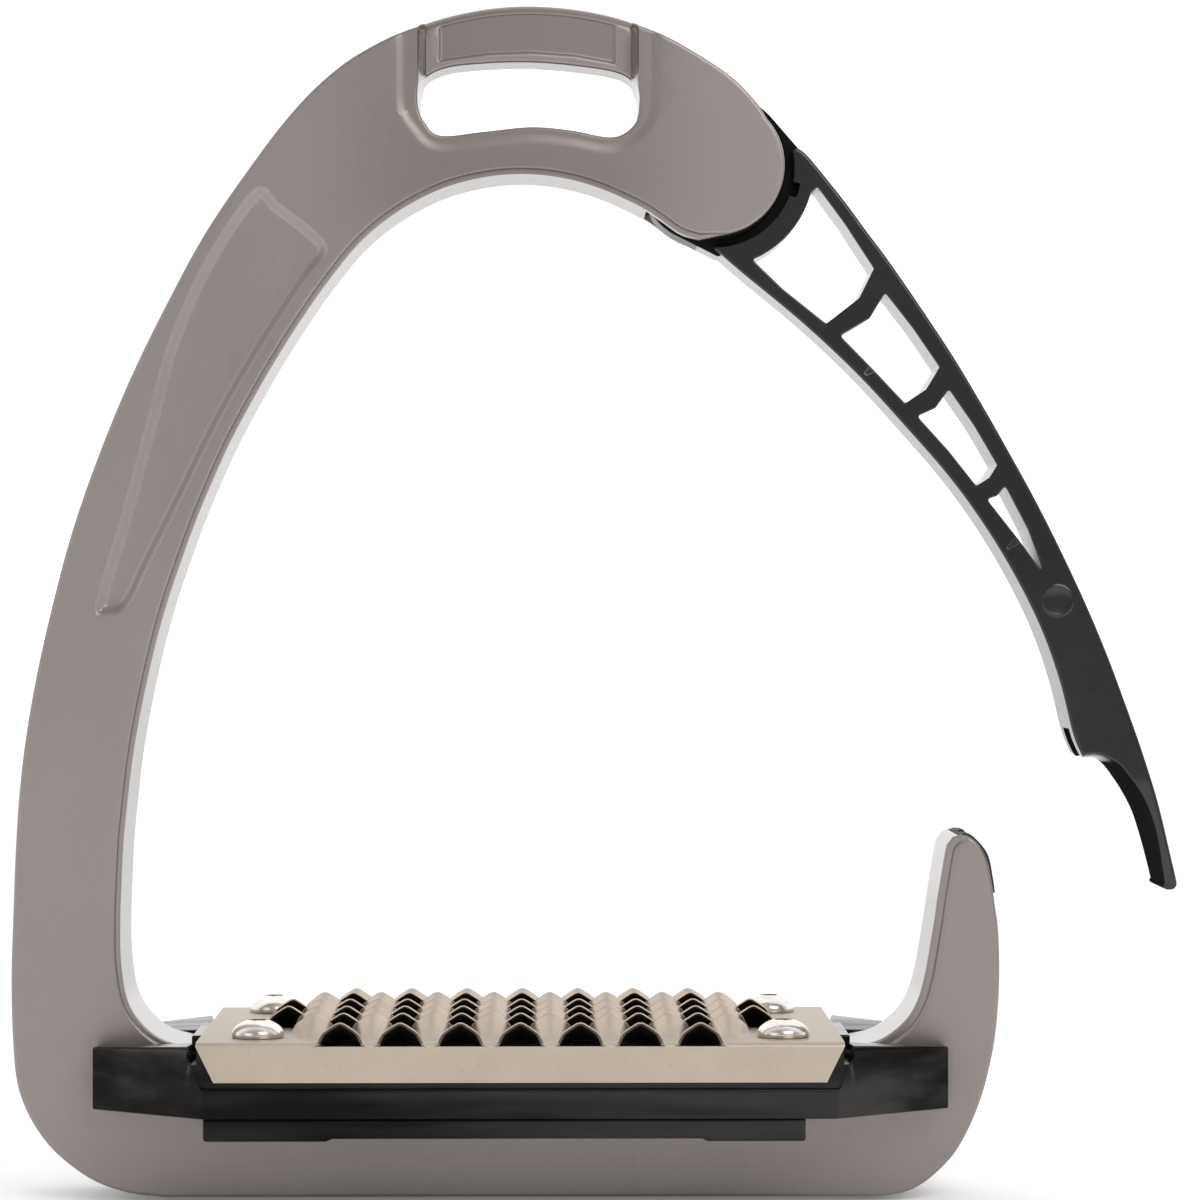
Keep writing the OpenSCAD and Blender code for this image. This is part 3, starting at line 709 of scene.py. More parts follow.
rings = []
for d in RAB_D[1:]:
    rings.append((offset(line_in_a[::-1], d * 0.64, False), False))
    rings.append((offset(line_in_b[::-1], d, False), False))
loop_sign = 1
for d in round_steps(0.5):
    rings.append((offset(line_out[::-1], d, False), False))
    rings.append((offset(line_out_b[::-1], d, False), False))
for d in (0.03, 0.12, 0.3, 0.45):
    rings.append((offset(eye_loop, -d), True))
for d in (0.9, 1.15, 1.4, 1.7, 2.0, 2.3, 2.6, 2.9, 3.2):
    rings.append((offset(band_line, -d, False), False))
for d in (-0.6, -0.35, -0.1, 0.15, 0.4, 0.7, 1.0, 1.3):
    rings.append((offset(pocket_loop, d), True))
for x in (REC_L, REC_L + 0.15, REC_L + 0.4, REC_L + 0.6, REC_L + 0.8, REC_L + 1.05, REC_L + 1.2, REC_L + 1.5,
          REC_R, REC_R - 0.15, REC_R - 0.4, REC_R - 0.6, REC_R - 0.8, REC_R - 1.0, REC_R - 1.1, REC_R - 1.4):
    rings.append((resample([[x, 163.2], [x, 176.9]], 0.7), False))
for x in (-12.5, -12.35, -12.2, -12.05, -11.8, 14.3, 14.15, 14.0, 13.85, 13.6):
    rings.append((resample([[x, 168.4], [x, 177]], 0.6), False))
xs = np.arange(-14, 16.3, 0.6)
for dz in (-0.25, 0, 0.15, 0.3, 0.5, 0.75):
    rings.append((np.c_[xs, np.interp(xs, [-13, -5, 1.3, 8, 15.5], [169.55, 170.65, 170.9, 170.45, 169.05]) + dz], False))
for d in (0.8, 1.0, 1.15, 1.3, 1.45, 1.7):
    q = offset(line_out[::-1], d, False)
    rings.append((q[(q[:, 0] > REC_L + 1.5) & (q[:, 0] < REC_R - 1.5) & (q[:, 1] > 165)], False))
for e in (0, 0.03):
    rings.append((resample([[-46.2 - e, 10.9 - e], [41.7 + e, 10.9 - e], [41.7 + e, 13.7 + e], [-46.2 - e, 13.7 + e]], 1.4, True), True))
for r in (4.68, 4.72, 4.85, 5.05, 5.3):
    rings.append((circle(PIV, r, 72), True))

verts, faces = field_solid(f_loop, [eye_loop], frame_face, lambda P: frame_face(P, True), rings, grid=2.6)
o = add_object("stirrup_frame", mesh_from(verts, faces))
cut = [cylinder_y(PIV, 12.2, -6.6, 6.6, 128),
       cylinder_y(PIV, 3.02, -8.8, 12, 48)]
pad_seat = [[65.3, 52.1], [65.1, 57], [73.5, 57], [73.5, 45], [69.2, 45], [68.9, 47.6], [67.6, 50.2], [66.4, 51.7]]
cut.append(prism(pad_seat, -9.2, 9.2))
a = math.radians(176)
ax = np.array([math.cos(a), 0, math.sin(a)])
side = np.array([0, 1.0, 0])
up = np.cross(ax, side)
org = np.array([PIV[0], 0, PIV[1]])
bv, bf = [], []
N = 32
for h in (11.0, 26.4):
    for i in range(N):
        t = 2 * math.pi * i / N
        bv.append(org + ax * h + 1.8 * (side * math.cos(t) + up * math.sin(t)))
bf = [tuple(range(N)), tuple(range(2 * N - 1, N - 1, -1))] + [(i, N + i, N + (i + 1) % N, (i + 1) % N) for i in range(N)]
cut.append((np.array(bv), bf))
boolean(o, cut)
finish_piece(o, M_ALLOY, "frame", ["frame"], sharp=34)

# ------------------------------------------------------------------ latch pad
pad_outer = [[65.5, 53.4], [65.7, 53.95], [66.5, 54.1], [67.7, 53.5], [69.7, 51.0], [70.5, 47.4], [70.8, 45.2]]
p_loop = ccw(join(resample(catmull(pad_outer, 8), 0.35), resample([[70.8, 45.2], [69.4, 45.2]], 0.35),
                  resample([[69.4, 45.2], [69.1, 47.7], [67.8, 50.4], [66.6, 51.9], [65.5, 52.4]], 0.35)))
pr = [(offset(p_loop, d), True) for d in (0.03, 0.1, 0.22)]
pd = lambda P: 9.1 - round_drop(dist(P, p_loop, True), 0.3)
o = add_object("latch_pad_rubber", mesh_from(*field_solid(p_loop, (), pd, pd, pr, grid=0.8, lip=0.1)))
nub = ccw(rounded([[65.8, 53], [65.8, 54.4], [66.8, 54.35], [66.8, 53]], [0.01, 0.35, 0.35, 0.01], 0.3))
nr = [(offset(nub, d), True) for d in (0.03, 0.12)]
nd = lambda P: 3.0 - round_drop(dist(P, nub, True), 0.25)
boolean(o, [field_solid(nub, (), nd, nd, nr, grid=0.6, lip=0.1)], "UNION")
finish_piece(o, M_RUBBER, "frame", ["latch_pad"])

# ------------------------------------------------------------------ release arm
arm_outer = [[41.3, 156.4], [42.7, 155.3], [45.6, 151.6], [48.6, 147.8], [51.3, 144.1], [54.1, 140.4],
    [56.7, 136.7], [59.3, 132.9], [64.2, 125.5], [68.7, 118], [72.9, 110.6], [77, 103.1], [80.7, 95.7],
    [84.2, 88.2], [87.3, 80.8], [90.1, 73.3], [92.7, 65.9], [95, 58.4], [96.8, 51], [97.7, 47.2]]
arm_tip = [[97.8, 46.4], [97.4, 45.85], [96.8, 45.7], [96.1, 45.8], [95.6, 46.2]]
arm_lip = [[95.5, 46.6], [94.7, 49.4], [93.7, 52.9], [92.4, 56.9], [90.9, 59.9], [89.6, 61.9], [88.2, 63.8],
    [86.9, 64.9], [85.6, 65.3], [84.1, 65.2]]
arm_inner = [[83.6, 65.9], [82.3, 69.1], [80.4, 76.7], [77.7, 84.4], [74, 92], [69.4, 99.7], [63.9, 107.3],
    [57.2, 115], [50.2, 122.6], [42.1, 130.2], [32.8, 137.9], [29, 141.2]]
window_1 = [[33.4, 140.8], [44.2, 150.6], [48.3, 145], [52.6, 138.4], [50.4, 134], [45.5, 130.2], [39, 135.4]]
window_2 = [[47.6, 128.4], [52, 131], [54.3, 134.8], [58.5, 129.4], [62.4, 123.7], [60.4, 120.4], [57.3, 118.3], [52.4, 123.5]]
window_3 = [[59.1, 116.4], [61.8, 117.6], [63.8, 120.4], [67.6, 114.9], [71, 109.1], [69.8, 107.2], [67.9, 106], [63.8, 111.2]]
window_4 = [[69.5, 104], [71, 104.5], [72.2, 106], [75.6, 99.5], [78.3, 92.4], [74.2, 98]]



def grow(pts, dx=0.0, dz=0.0):
    """The arm lies nearer the middle of the section than the frame's faces, so its outline is a touch larger."""
    p = np.array(pts, float)
    k = 1.003 + 0.0015 * np.clip((p[:, 1] - 60) / 90, 0, 1)
    return np.c_[3.55 + (p[:, 0] - 3.55) * k + dx, 88.97 + (p[:, 1] - 88.97) * k + dz]


arm_outer = np.vstack([grow(arm_outer[:2]), grow(arm_outer[2:], 0.12, 0.09)])
arm_tip, arm_lip, arm_inner = grow(arm_tip, 0.08, 0), grow(arm_lip, 0.1, 0), grow(arm_inner)
window_1, window_2, window_3, window_4 = grow(window_1), grow(window_2), grow(window_3), grow(window_4)
a_out = resample(catmull(arm_outer, 8), 0.6)
a_tip = resample(catmull(np.vstack([arm_outer[-1:], arm_tip, arm_lip[:1]]), 6), 0.22)
a_lip = resample(catmull(arm_lip, 8), 0.4)
a_step = resample(np.vstack([arm_lip[-1:], arm_inner[:1]]), 0.2)
a_in = resample(catmull(arm_inner, 8), 0.6)
a_hub = resample(arc(PIV, 11.95, -90, 12, 60), 0.5)
arm_loop = ccw(join(a_out, a_tip, a_lip, a_step, a_in, a_hub))


def on_circle(p, q, r):
    p, q = np.array(p, float), np.array(q, float)
    lo, hi = 0.0, 1.0
    s = np.hypot(*(p - PIV)) > r
    for _ in range(50):
        m = (lo + hi) / 2
        if (np.hypot(*(p + (q - p) * m - PIV)) > r) == s:
            lo = m
        else:
            hi = m
    return p + (q - p) * lo


qa = on_circle(window_1[6], window_1[0], 15)
qb = on_circle(window_1[1], window_1[0], 15)
aa = math.degrees(math.atan2(*(qa - PIV)[::-1]))
ab = math.degrees(math.atan2(*(qb - PIV)[::-1]))
w1 = [list(q) for q in arc(PIV, 15, aa, ab, 10)] + [list(q) for q in window_1[1:]]
windows = [ccw(rounded(w1, [0.3] + [0.02] * 9 + [0.3] + [0.4] * 6, 0.6, 4))]
for w in (window_2, window_3, window_4):
    windows.append(ccw(rounded(w, 0.4, 0.6, 4)))


def arm_level(z):
    return np.where(z > 150, 6.9, np.where(z > 62, 6.9 + 1.5 * (150 - z) / 88, 8.4 - 0.8 * (62 - z) / 22))


RING_C = np.array([80.3, 88.9])


def lip_roll(z):
    return np.interp(z, [46, 49, 54, 60, 64, 65.5], [0.45, 0.85, 1.5, 1.6, 1.3, 0.9])


def arm_face(P):
    x, z = P[:, 0], P[:, 1]
    drop = np.maximum(round_drop(dist(P, a_out), 0.5), round_drop(dist(P, a_in), 0.35))
    drop = np.maximum(drop, round_drop(dist(P, a_hub), 0.3))
    drop = np.maximum(drop, round_drop(dist(P, join(a_tip, a_tip[:1])[: len(a_tip)]), 0.4))
    k = np.clip(1 - dist(P, a_lip) / lip_roll(z), 0, 1)
    drop = np.maximum(drop, 6.9 * (1 - np.sqrt(np.maximum(1 - k * k, 0))))
    for w in windows:
        drop = np.maximum(drop, round_drop(dist(P, w, True), 0.22))
    r = np.hypot(x - RING_C[0], z - RING_C[1])
    bump = 0.09 * np.exp(-((r - 2.2) / 0.16) ** 2) + 0.03 * (r < 2.1)
    notch = np.zeros(len(P), bool)
    n = np.radians(-15.5)
    u = (x - PIV[0]) * math.cos(n) + (z - PIV[1]) * math.sin(n)
    v = -(x - PIV[0]) * math.sin(n) + (z - PIV[1]) * math.cos(n)
    notch = (u < 13.1) & (np.abs(v) < 1.05)
    lev = arm_level(z) - drop + bump
    return np.where(notch, 4.9, lev)


ar = []
for d in round_steps(0.5):
    ar.append((offset(a_out, -d, False), False))
for d in round_steps(0.35):
    ar.append((offset(a_in, -d, False), False))
for d in round_steps(0.3):
    ar.append((offset(a_hub, -d, False), False))
for k in (0.01, 0.034, 0.08, 0.14, 0.21, 0.293, 0.4, 0.5, 0.62, 0.741, 0.87, 1.0, 1.15):
    q = []
    off = offset(a_lip, -1.0, False)
    base = a_lip
    seg = np.gradient(base, axis=0)
    seg /= np.linalg.norm(seg, axis=1)[:, None]
    nrm = np.c_[seg[:, 1], -seg[:, 0]]
    rl = lip_roll(base[:, 1]) * k
    ar.append((base + nrm * rl[:, None], False))
for w in windows:
    for d in (0.02, 0.08, 0.16, 0.24, 0.45):
        ar.append((offset(w, -d), True))
for r in (1.95, 2.04, 2.12, 2.2, 2.28, 2.36, 2.45, 2.6):
    ar.append((circle(RING_C, r, 44), True))
for e in (0, 0.04):
    n = math.radians(-15.5)
    q = []
    for u, v in ((11.96, -1.05 - e), (13.1 + e, -1.05 - e), (13.1 + e, 1.05 + e), (11.96, 1.05 + e)):
        q.append([PIV[0] + u * math.cos(n) - v * math.sin(n), PIV[1] + u * math.sin(n) + v * math.cos(n)])
    ar.append((resample(q, 0.35), False))

o = add_object("release_arm_shell", mesh_from(*field_solid(arm_loop, windows, arm_face, arm_face, ar, grid=1.8)))
# hub disc and the web that joins it to the arm
hub_loop = ccw(join(resample(arc(PIV, 11.6, 39.5, 237, 160), 0.5), resample([[22.58, 144.07], [29.4, 140.6]], 0.5),
                    resample(arc(PIV, 13.2, -87.8, 12.6, 60), 0.5), resample([[41.78, 156.68], [37.85, 161.18]], 0.5)))
bore = circle(PIV, 4.61, 64)


def hub_face(P):
    r = np.hypot(P[:, 0] - PIV[0], P[:, 1] - PIV[1])
    return 6.3 - 1.5 * sstep((r - 10.6) / 0.2) - round_drop(dist(P, hub_loop, True), 0.3) - round_drop(dist(P, bore, True), 0.2)


hr = [(offset(hub_loop, d), True) for d in round_steps(0.3)] + [(offset(bore, -d), True) for d in (0.02, 0.08, 0.2, 0.4)]
hr += [(circle(PIV, r, 110), True) for r in (10.6, 10.65, 10.7, 10.75, 10.8)]
boolean(o, [field_solid(hub_loop, [bore], hub_face, hub_face, hr, grid=2.2)], "UNION")
tracks = []
for a0, a1 in ((126, 180.3), (183.7, 193)):
    tracks.append(prism(join(arc(PIV, 14, a0, a1, 24), arc(PIV, 11.2, a1, a0, 24)), -2.4, 2.4))
tracks.append(prism([[80, 69.6], [82.9, 69.6], [84.6, 67], [85.8, 64], [80, 64]], -4, 4))
boolean(o, tracks)
finish_piece(o, M_ARM, "release_arm", ["safety_arm"], sharp=34)

# ------------------------------------------------------------------ tread base
TY = 30.0


def base_half(s):
    """Front (s = -1) or rear (s = 1) half of the moulded base."""
    plan = [[-63.2, 10.25], [-63.2, 16], [-46, 30], [46, 30], [63.2, 16], [63.2, 10.25]]
    loop = rounded([[x, y * s] for x, y in plan], [0.25, 0.3, 0.8, 0.8, 0.3, 0.25], 0.8, 5)
    loop = ccw(loop)
    facets = [resample(np.array([[-63.2, 16 * s], [-46, 30 * s]], float), 0.8),
              resample(np.array([[63.2, 16 * s], [46, 30 * s]], float), 0.8)]
    front = resample(np.array([[-46, 30 * s], [46, 30 * s]], float), 0.8)

    def top(P):
        x, y = np.abs(P[:, 0]), np.abs(P[:, 1])
        ear = 23.1 + math.tan(math.radians(3.5)) * (y - 10.2) - math.tan(math.radians(1.7)) * (x - 47.5)
        # edge roll that grows from the tip towards the plate
        t = np.clip((63.2 - x) / 15.2, 0, 1)
        rv, rh = 0.3 + 6.0 * t ** 1.25, 0.3 + 2.3 * t ** 1.1
        d = np.minimum(dist(P, facets[0]), dist(P, facets[1]))
        d = np.minimum(d, np.where(x > 44, dist(P, front), 99))
        k = np.clip(1 - d / rh, 0, 1)
        ear = ear - rv * (1 - np.sqrt(np.maximum(1 - k * k, 0)))
        ear = ear - round_drop(np.abs(x - 63.2), 0.35) - round_drop(np.abs(y - 10.25), 0.3)
        lev = ear
        # channel beside the plate's end
        slope = np.clip((x - 47.75) / 0.75, 0, 1)
        lev = lev * slope + 21.6 * (1 - slope)
        # plate seat
        seat = np.clip((47.0 - x) / 0.1, 0, 1)
        lev = lev * (1 - seat) + 24.2 * seat
        # step for the plate's folded edge, with slanted ends
        edge = y > 28.6
        end = 18.1 + np.clip((x - 46.3) / 2.2, 0, 1) * 6.2
        ledge = np.minimum(end, np.where(x > 48.4, ear, 99))
        ledge = ledge - round_drop(30 - y, 0.25) * (x < 47)
        lev = np.where(edge, np.minimum(ledge, np.where(x > 46.3, ear, 99)), lev)
        return lev

    def bottom(P):
        d = dist(P, loop, True)
        return 13.8 + round_drop(d, 0.3)

    rg = []
    for d in (0.02, 0.08, 0.2, 0.34, 0.5):
        rg.append((offset(loop, d), True))
    for f in facets:
        for k in (0.06, 0.15, 0.28, 0.45, 0.65, 0.85, 1.0, 1.12):
            t = np.clip((63.2 - np.abs(f[:, 0])) / 15.2, 0, 1)
            rh = (0.3 + 2.3 * t ** 1.1) * k
            g = np.gradient(f, axis=0)
            g /= np.linalg.norm(g, axis=1)[:, None]
            nn = np.c_[-g[:, 1], g[:, 0]]
            if (f + nn)[0, 1] * s > f[0, 1] * s:
                nn = -nn
            rg.append((f + nn * rh[:, None], False))
    for sx in (-1, 1):
        for x in (46.3, 46.9, 47.0, 47.1, 47.75, 48.0, 48.5, 48.8):
            rg.append((resample([[sx * x, s * 10.6], [sx * x, s * 29.7]], 0.9), False))
    for y in (28.57, 28.62):
        rg.append((resample([[-48.7, s * y], [48.7, s * y]], 0.8), False))
    return field_solid(loop, (), top, bottom, rg, grid=2.4, plane="XY", lip=0.2)


o = add_object("tread_base_moulding", mesh_from(*base_half(-1)))
bridge = rounded([[-49, -10.6], [49, -10.6], [49, 10.6], [-49, 10.6]], 0.3, 3)


def bridge_top(P):
    return np.full(len(P), 24.19) - round_drop(dist(P, bridge, True), 0.3)


brr = [(offset(ccw(bridge), d), True) for d in (0.03, 0.12, 0.3, 0.5)]
boolean(o, [base_half(1), field_solid(bridge, (), bridge_top, lambda P: np.full(len(P), 22.76), brr, grid=4, plane="XY", lip=0.1)], "UNION")
wells = []
for sx in (-1, 1):
    for sy in (-1, 1):
        c = (sx * 38.5, sy * 21)
        wells.append(lathe([(0, 15), (2.9, 15), (2.9, 27), (0, 27)], c, n=48))
        wells[-1] = field_solid(circle(c, 2.9, 48), (), lambda P: np.full(len(P), 27.0), lambda P: np.full(len(P), 15.0), grid=50, plane="XY", lip=0)
for x in (-32, 31.5):
    for sy in (-1, 1):
        wells.append(field_solid(circle((x, sy * 16.5), 1.46, 32), (), lambda P: np.full(len(P), 19.4), lambda P: np.full(len(P), 12.8), grid=50, plane="XY", lip=0))
boolean(o, wells)
finish_piece(o, M_BASE, "frame", ["tread_base"], sharp=30)


# ------------------------------------------------------------------ clamp rails
def rail(s, name, node):
    loop = ccw(rounded([[-46, 10.25 * s], [41.4, 10.25 * s], [41.4, 29.4 * s], [-46, 29.4 * s]], [0.3, 0.3, 0.6, 0.6], 0.9, 4))
    holes = [circle((x, 16.5 * s), 1.6, 32) for x in (-32, 31.5)]

    def top(P):
        return 13.74 - round_drop(dist(P, loop, True), 0.25)

    def bottom(P):
        x = P[:, 0]
        low = 10.9 - 0.4 * np.maximum(1 - sstep((x + 28.2) / 0.5), sstep((x - 26.7) / 0.5))
        low = low + round_drop(dist(P, loop, True), 0.45)
        for c in ((-32, 16.5 * s), (31.5, 16.5 * s)):
            r = np.hypot(x - c[0], P[:, 1] - c[1])
            low = np.where(r < 3.05, np.maximum(low, 10.4 + 1.6 * (3.05 - r) / 1.45), low)
        return low

    rg = [(offset(loop, d), True) for d in (0.03, 0.12, 0.25, 0.45, 0.7)]
    rg += [(circle((x, 16.5 * s), r, 40), True) for x in (-32, 31.5) for r in (2.3, 3.0, 3.1)]
    for x in (-28.3, -28.1, -27.9, -27.7, 26.6, 26.8, 27.0, 27.3):
        rg.append((resample([[x, 10.9 * s], [x, 28.8 * s]], 1.0), False))
    o = add_object(name, mesh_from(*field_solid(loop, holes, top, bottom, rg, grid=3, plane="XY", lip=0.15)))
    tongue = rounded([[-46, 9.15 * s], [41.4, 9.15 * s], [41.4, 10.6 * s], [-46, 10.6 * s]], 0.2, 2)
    boolean(o, [field_solid(tongue, (), lambda P: np.full(len(P), 13.45), lambda P: np.full(len(P), 11.1), grid=20, plane="XY", lip=0)], "UNION")
    finish_piece(o, M_BASE, "frame", [node], sharp=30)


rail(-1, "clamp_rail_front_bar", "clamp_rail_front")
rail(1, "clamp_rail_rear_bar", "clamp_rail_rear")

# ------------------------------------------------------------------ tread plate
PT, TH, PITCH, TW, RX = 24.9, 3.3, 8.7, 6.5, 37.94


def bell(u):
    """Pressed tooth: round peak, full shoulders, steep foot. 1 in the middle, 0 past |u| = 1.12."""
    return np.interp(np.abs(u), [0, 0.05, 0.1, 0.15, 0.2, 0.28, 0.38, 0.51, 0.7, 0.82, 0.89, 0.95, 1, 1.05, 1.1, 1.15],
                     [1, 0.997, 0.986, 0.968, 0.944, 0.898, 0.836, 0.752, 0.622, 0.52, 0.42, 0.28, 0.15, 0.065, 0.02, 0])


def teeth(x, t, cols, height=TH, width=TW):
    """Height at distance t behind the open mouth (t = 0) for tooth columns."""
    run = 6.4
    k = np.clip(1 - t / run, 0, 1)
    h = np.zeros_like(x * t)
    for c in cols:
        w = width / 2 * (0.35 + 0.65 * k)
        h = np.maximum(h, height * k ** 0.9 * bell((x - c) / w))
    return h


def strip_height(i, x, y):
    y0, y1 = -30 + 12 * i, -18 + 12 * i
    a_cols = [k * PITCH for k in (range(-4, 5) if i in (2, 3) else range(-3, 4))]
    b_cols = [(k + 0.5) * PITCH for k in range(-4, 4)]
    h = teeth(x, y - y0, a_cols)
    if i in (1, 4):
        h = np.maximum(h, teeth(x, y - y0, [-33.2 + 1.9, 33.2 - 1.9], 1.3, 3.2))
    if i < 4:
        h = np.maximum(h, teeth(x, y1 - y, b_cols))
    else:
        h = np.maximum(h, teeth(x, y1 - y, [k * PITCH for k in range(-3, 4)]))
    return h


xs = np.unique(np.round(np.r_[np.arange(-36.8, 36.81, 0.23), -RX, -37.7, -37.4, -37.1, 37.1, 37.4, 37.7, RX], 4))
tt = np.array([0.0, 0.15, 0.5, 1.0, 1.6, 2.3, 3.0, 3.8, 4.6, 5.3, 6.0])
tt = np.r_[tt, 12 - tt[::-1]]
pv, pf, key = [], [], {}


def vid(p):
    k = tuple(np.round(p, 4))
    if k not in key:
        key[k] = len(pv)
        pv.append(p)
    return key[k]


GAP = 0.12


def slit_half(b):
    """Half length of the slit at strip boundary b."""
    return 32.2 if b in (1, 4) else RX


side_rows = {-1: [], 1: []}
for i in range(5):
    y0 = -30 + 12 * i
    ys = y0 + tt
    lo_gap = 0 if i == 0 else GAP
    hi_gap = 0 if i == 4 else GAP
    ymap = np.where(tt == 0, y0 + lo_gap, np.where(tt == 12, y0 + 12 - hi_gap, ys))
    X, Y = np.meshgrid(xs, ys)
    H = strip_height(i, X, Y)
    base_z = np.full_like(Y, PT)
    # rolled front and rear edges
    for s in (-1, 1):
        d = TY - s * Y
        base_z = base_z - np.where(d < 1.4, 0.62 * (1 - np.sqrt(np.maximum(1 - ((1.4 - d) / 1.4) ** 2 * 0.98, 0))), 0) * ((i == 0 and s < 0) or (i == 4 and s > 0))
    Z = base_z + H
    idx = np.zeros(X.shape, int)
    for r in range(X.shape[0]):
        for c in range(X.shape[1]):
            xx = X[r, c]
            half = slit_half(i if r < X.shape[0] // 2 else i + 1)
            cut_here = abs(xx) < half - 0.01
            edge_row = r in (0, X.shape[0] - 1)
            yy = ymap[r] if cut_here else ys[r]
            idx[r, c] = vid((xx, yy, Z[r, c] if cut_here or not edge_row and abs(xx) < RX - 0.01 else base_z[r, c]))
    for r in range(X.shape[0] - 1):
        for c in range(X.shape[1] - 1):
            pf.append((idx[r, c], idx[r, c + 1], idx[r + 1, c + 1], idx[r + 1, c]))
    for s, c in ((-1, 0), (1, X.shape[1] - 1)):
        side_rows[s] += [idx[r, c] for r in range(X.shape[0])]
# plain margins beside the teeth
for s in (-1, 1):
    rows = []
    for k in side_rows[s]:
        if not rows or rows[-1] != k:
            rows.append(k)
    cols = [38.24, 38.54, 38.84, 39.14, 39.44, 39.74, 40.04, 40.34, 40.64, 40.94, 41.24, 42.5, 44.4, 46.2, 47.0]
    last = rows
    for cx in cols:
        new = []
        for k in rows:
            _, y, z = pv[k]
            new.append(vid((s * cx, y, z)))
        for a in range(len(rows) - 1):
            q = (last[a], new[a], new[a + 1], last[a + 1])
            pf.append(q if s > 0 else q[::-1])
        last = new
# folded front and rear edges
ZT = min(v[2] for v in pv if abs(v[1] + TY) < 1e-6 and abs(v[0]) > 38)
allx = sorted({round(v[0], 4) for v in pv if abs(v[1] + TY) < 1e-6})
for s in (-1, 1):
    prev = None
    for k, z in enumerate([ZT, ZT - 0.25, ZT - 0.6, 23.4, 22.2, 20.6, 19.5, 19.12]):
        f = (ZT - z) / (ZT - 19.12)
        row = []
        for x in allx:
            xx = x * (1 - f * (1 - 44.4 / 47.0) * max(0, (abs(x) - 30) / 17))
            row.append(vid((xx, s * (TY - (0 if k == 0 else 0)), z)))
        if prev:
            for a in range(len(row) - 1):
                q = (prev[a], row[a], row[a + 1], prev[a + 1])
                pf.append(q if s < 0 else q[::-1])
        prev = row
# screw holes: drop the faces inside and pull the rim onto the circle
HOLE_R = 2.25
pv = [np.array(v, float) for v in pv]
inner = set()
for sx in (-1, 1):
    for sy in (-1, 1):
        c = np.array([sx * 38.5, sy * 21.0])
        gone = [f for f in pf if np.hypot(*(np.mean([pv[k][:2] for k in f], axis=0) - c)) < HOLE_R]
        kept = [f for f in pf if np.hypot(*(np.mean([pv[k][:2] for k in f], axis=0) - c)) >= HOLE_R]
        rim = {k for f in gone for k in f} & {k for f in kept for k in f}
        for k in rim:
            d = pv[k][:2] - c
            pv[k][:2] = c + d * HOLE_R / max(np.hypot(*d), 1e-6)
        pf = kept
used = sorted({k for f in pf for k in f})
remap = {k: i for i, k in enumerate(used)}
pv = [pv[k] for k in used]
pf = [tuple(remap[k] for k in f) for f in pf]
me = bpy.data.meshes.new("tread_plate_sheet")
me.from_pydata([tuple(np.array(v) * MM) for v in pv], [], pf)
me.validate()
o = add_object("tread_plate_sheet", me)
bm = bmesh.new()
bm.from_mesh(me)
bmesh.ops.recalc_face_normals(bm, faces=bm.faces)
if sum(f.normal.z * f.calc_area() for f in bm.faces) < 0:
    bmesh.ops.reverse_faces(bm, faces=bm.faces)
bm.to_mesh(me)
bm.free()
m = o.modifiers.new("sheet", "SOLIDIFY")
m.thickness, m.offset, m.use_even_offset, m.use_rim = 0.38 * MM, -1, False, True
dg = bpy.context.evaluated_depsgraph_get()
new = bpy.data.meshes.new_from_object(o.evaluated_get(dg))
o.modifiers.clear()
o.data = new
finish_piece(o, M_PLATE, "frame", ["tread_plate"], sharp=40)


# ------------------------------------------------------------------ tread screws
def screw(name, node, x, y, spin):
    prof = [(0, 16.7), (1.7, 16.7), (1.95, 17.1), (1.95, 24.6), (1.95, 24.92), (3.6, 24.92), (3.76, 24.97), (3.83, 25.1), (3.84, 25.5),
            (3.8, 25.72), (3.72, 25.9), (3.6, 26.1), (3.4, 26.36), (3.1, 26.64), (2.7, 26.92), (2.2, 27.18), (1.6, 27.42),
            (1.0, 27.57), (0.5, 27.63), (0.2, 27.65), (0, 27.655)]
    v, f = lathe(prof, (x, y), n=56)
    o = add_object(name, mesh_from(v, f))
    hexa = arc((x, y), 1.5, spin, spin + 360, 6)[:-1]
    boolean(o, [field_solid(ccw(hexa), (), lambda P: np.full(len(P), 29.0), lambda P: np.full(len(P), 26.3), grid=50, plane="XY", lip=0)])
    finish_piece(o, M_BRIGHT, "frame", [node], sharp=38)


screw("tread_screw_head_front_left", "tread_screw_front_left", -38.5, -21, 12)
screw("tread_screw_head_front_right", "tread_screw_front_right", 38.5, -21, 41)
screw("tread_screw_head_rear_left", "tread_screw_rear_left", -38.5, 21, 27)
screw("tread_screw_head_rear_right", "tread_screw_rear_right", 38.5, 21, 3)

# ------------------------------------------------------------------ CAD nodes that stay, with their own finish
for node, mat in (("hub_bush", M_BRASS), ("pivot_screw", M_BRIGHT), ("detent_plunger", M_BRIGHT), ("detent_spring", M_SPRING),
                  ("base_insert_front_left", M_BRASS), ("base_insert_front_right", M_BRASS),
                  ("base_insert_rear_left", M_BRASS), ("base_insert_rear_right", M_BRASS),
                  ("rail_screw_front_left", M_DARK), ("rail_screw_front_right", M_DARK),
                  ("rail_screw_rear_left", M_DARK), ("rail_screw_rear_right", M_DARK)):
    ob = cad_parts[node]
    for sl in ob.material_slots:
        sl.material = mat
    if not ob.material_slots:
        ob.data.materials.append(mat)

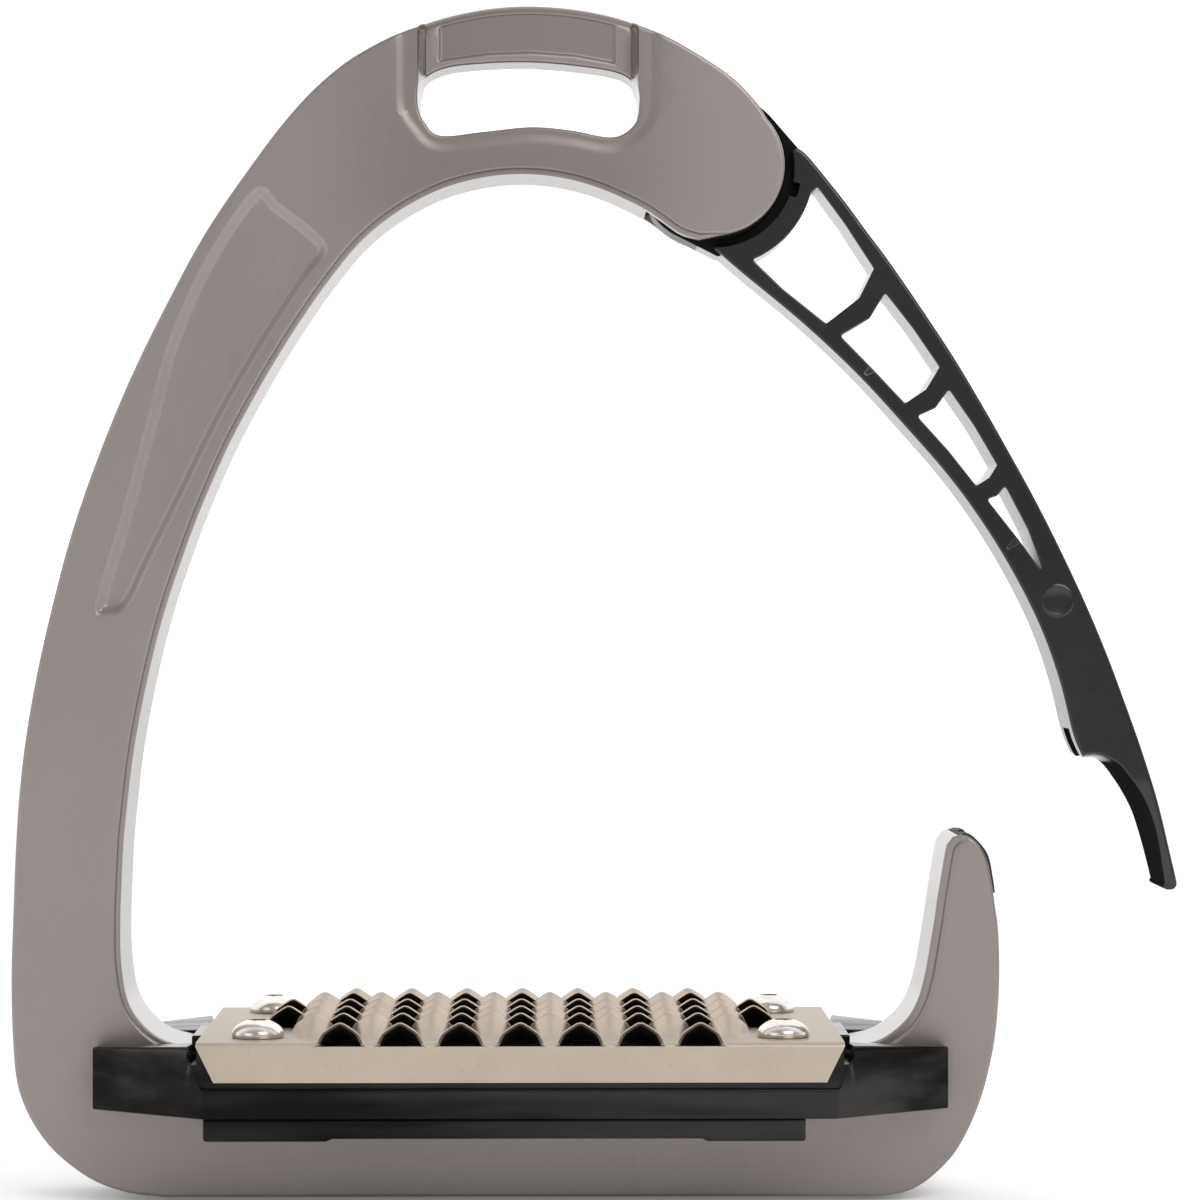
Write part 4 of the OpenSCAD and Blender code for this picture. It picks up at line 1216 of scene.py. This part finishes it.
# ------------------------------------------------------------------ stage
def plane(name, size, z, mat):
    n = 24
    v, f = [], []
    for i in range(n):
        a = 2 * math.pi * i / n
        v.append((size * math.cos(a), size * math.sin(a), z))
    f.append(tuple(range(n)))
    me = bpy.data.meshes.new(name)
    me.from_pydata(v, [], f)
    me.materials.append(mat)
    o = bpy.data.objects.new(name, me)
    bpy.context.scene.collection.objects.link(o)
    return o


fm = bpy.data.materials.new("pale_floor")
fm.use_nodes = True
fm.node_tree.nodes["Principled BSDF"].inputs["Base Color"].default_value = (0.93, 0.93, 0.93, 1)
fm.node_tree.nodes["Principled BSDF"].inputs["Roughness"].default_value = 0.9
fm.node_tree.nodes["Principled BSDF"].inputs["Specular IOR Level"].default_value = 0.1
fm.node_tree.nodes["Principled BSDF"].inputs["Emission Color"].default_value = (1, 1, 1, 1)
fm.node_tree.nodes["Principled BSDF"].inputs["Emission Strength"].default_value = 0.12
plane("floor", 1.6, -0.0006, fm)

w = bpy.data.worlds.new("studio")
bpy.context.scene.world = w
w.use_nodes = True
nt = w.node_tree
bg = nt.nodes["Background"]
tc = nt.nodes.new("ShaderNodeTexCoord")
sep = nt.nodes.new("ShaderNodeSeparateXYZ")
nt.links.new(tc.outputs["Generated"], sep.inputs[0])
mr = nt.nodes.new("ShaderNodeMapRange")
mr.interpolation_type = "SMOOTHSTEP"
mr.inputs["From Min"].default_value = -0.55
mr.inputs["From Max"].default_value = 0.25
mr.inputs["To Min"].default_value = 0.40
mr.inputs["To Max"].default_value = 1.35
nt.links.new(sep.outputs["Y"], mr.inputs["Value"])
nt.links.new(mr.outputs[0], bg.inputs["Strength"])
bg.inputs["Color"].default_value = (1, 1, 1, 1)


def area_light(name, loc, target, size, power, size_y=None):
    l = bpy.data.lights.new(name, "AREA")
    l.energy = power
    l.shape = "RECTANGLE"
    l.size, l.size_y = size, size_y or size
    o = bpy.data.objects.new(name, l)
    bpy.context.scene.collection.objects.link(o)
    o.location = loc
    o.rotation_euler = (Vector(target) - Vector(loc)).to_track_quat("-Z", "Y").to_euler()
    return o


area_light("key_softbox", (0.30, -0.62, 0.55), (0.0, 0.0, 0.10), 0.45, 2.6)
area_light("fill_softbox", (-0.55, -0.60, 0.30), (0.0, 0.0, 0.08), 0.50, 0.8)

cam = bpy.data.cameras.new("camera")
co = bpy.data.objects.new("camera", cam)
bpy.context.scene.collection.objects.link(co)
co.location = (0.00355, -0.698, 0.08897)
co.rotation_euler = (math.radians(90), 0, math.radians(-0.683))
cam.lens, cam.sensor_width = 138.5, 36
cam.clip_start, cam.clip_end = 0.01, 20
bpy.context.scene.camera = co
bpy.context.scene.view_settings.view_transform = "Standard"
bpy.context.scene.view_settings.look = "None"
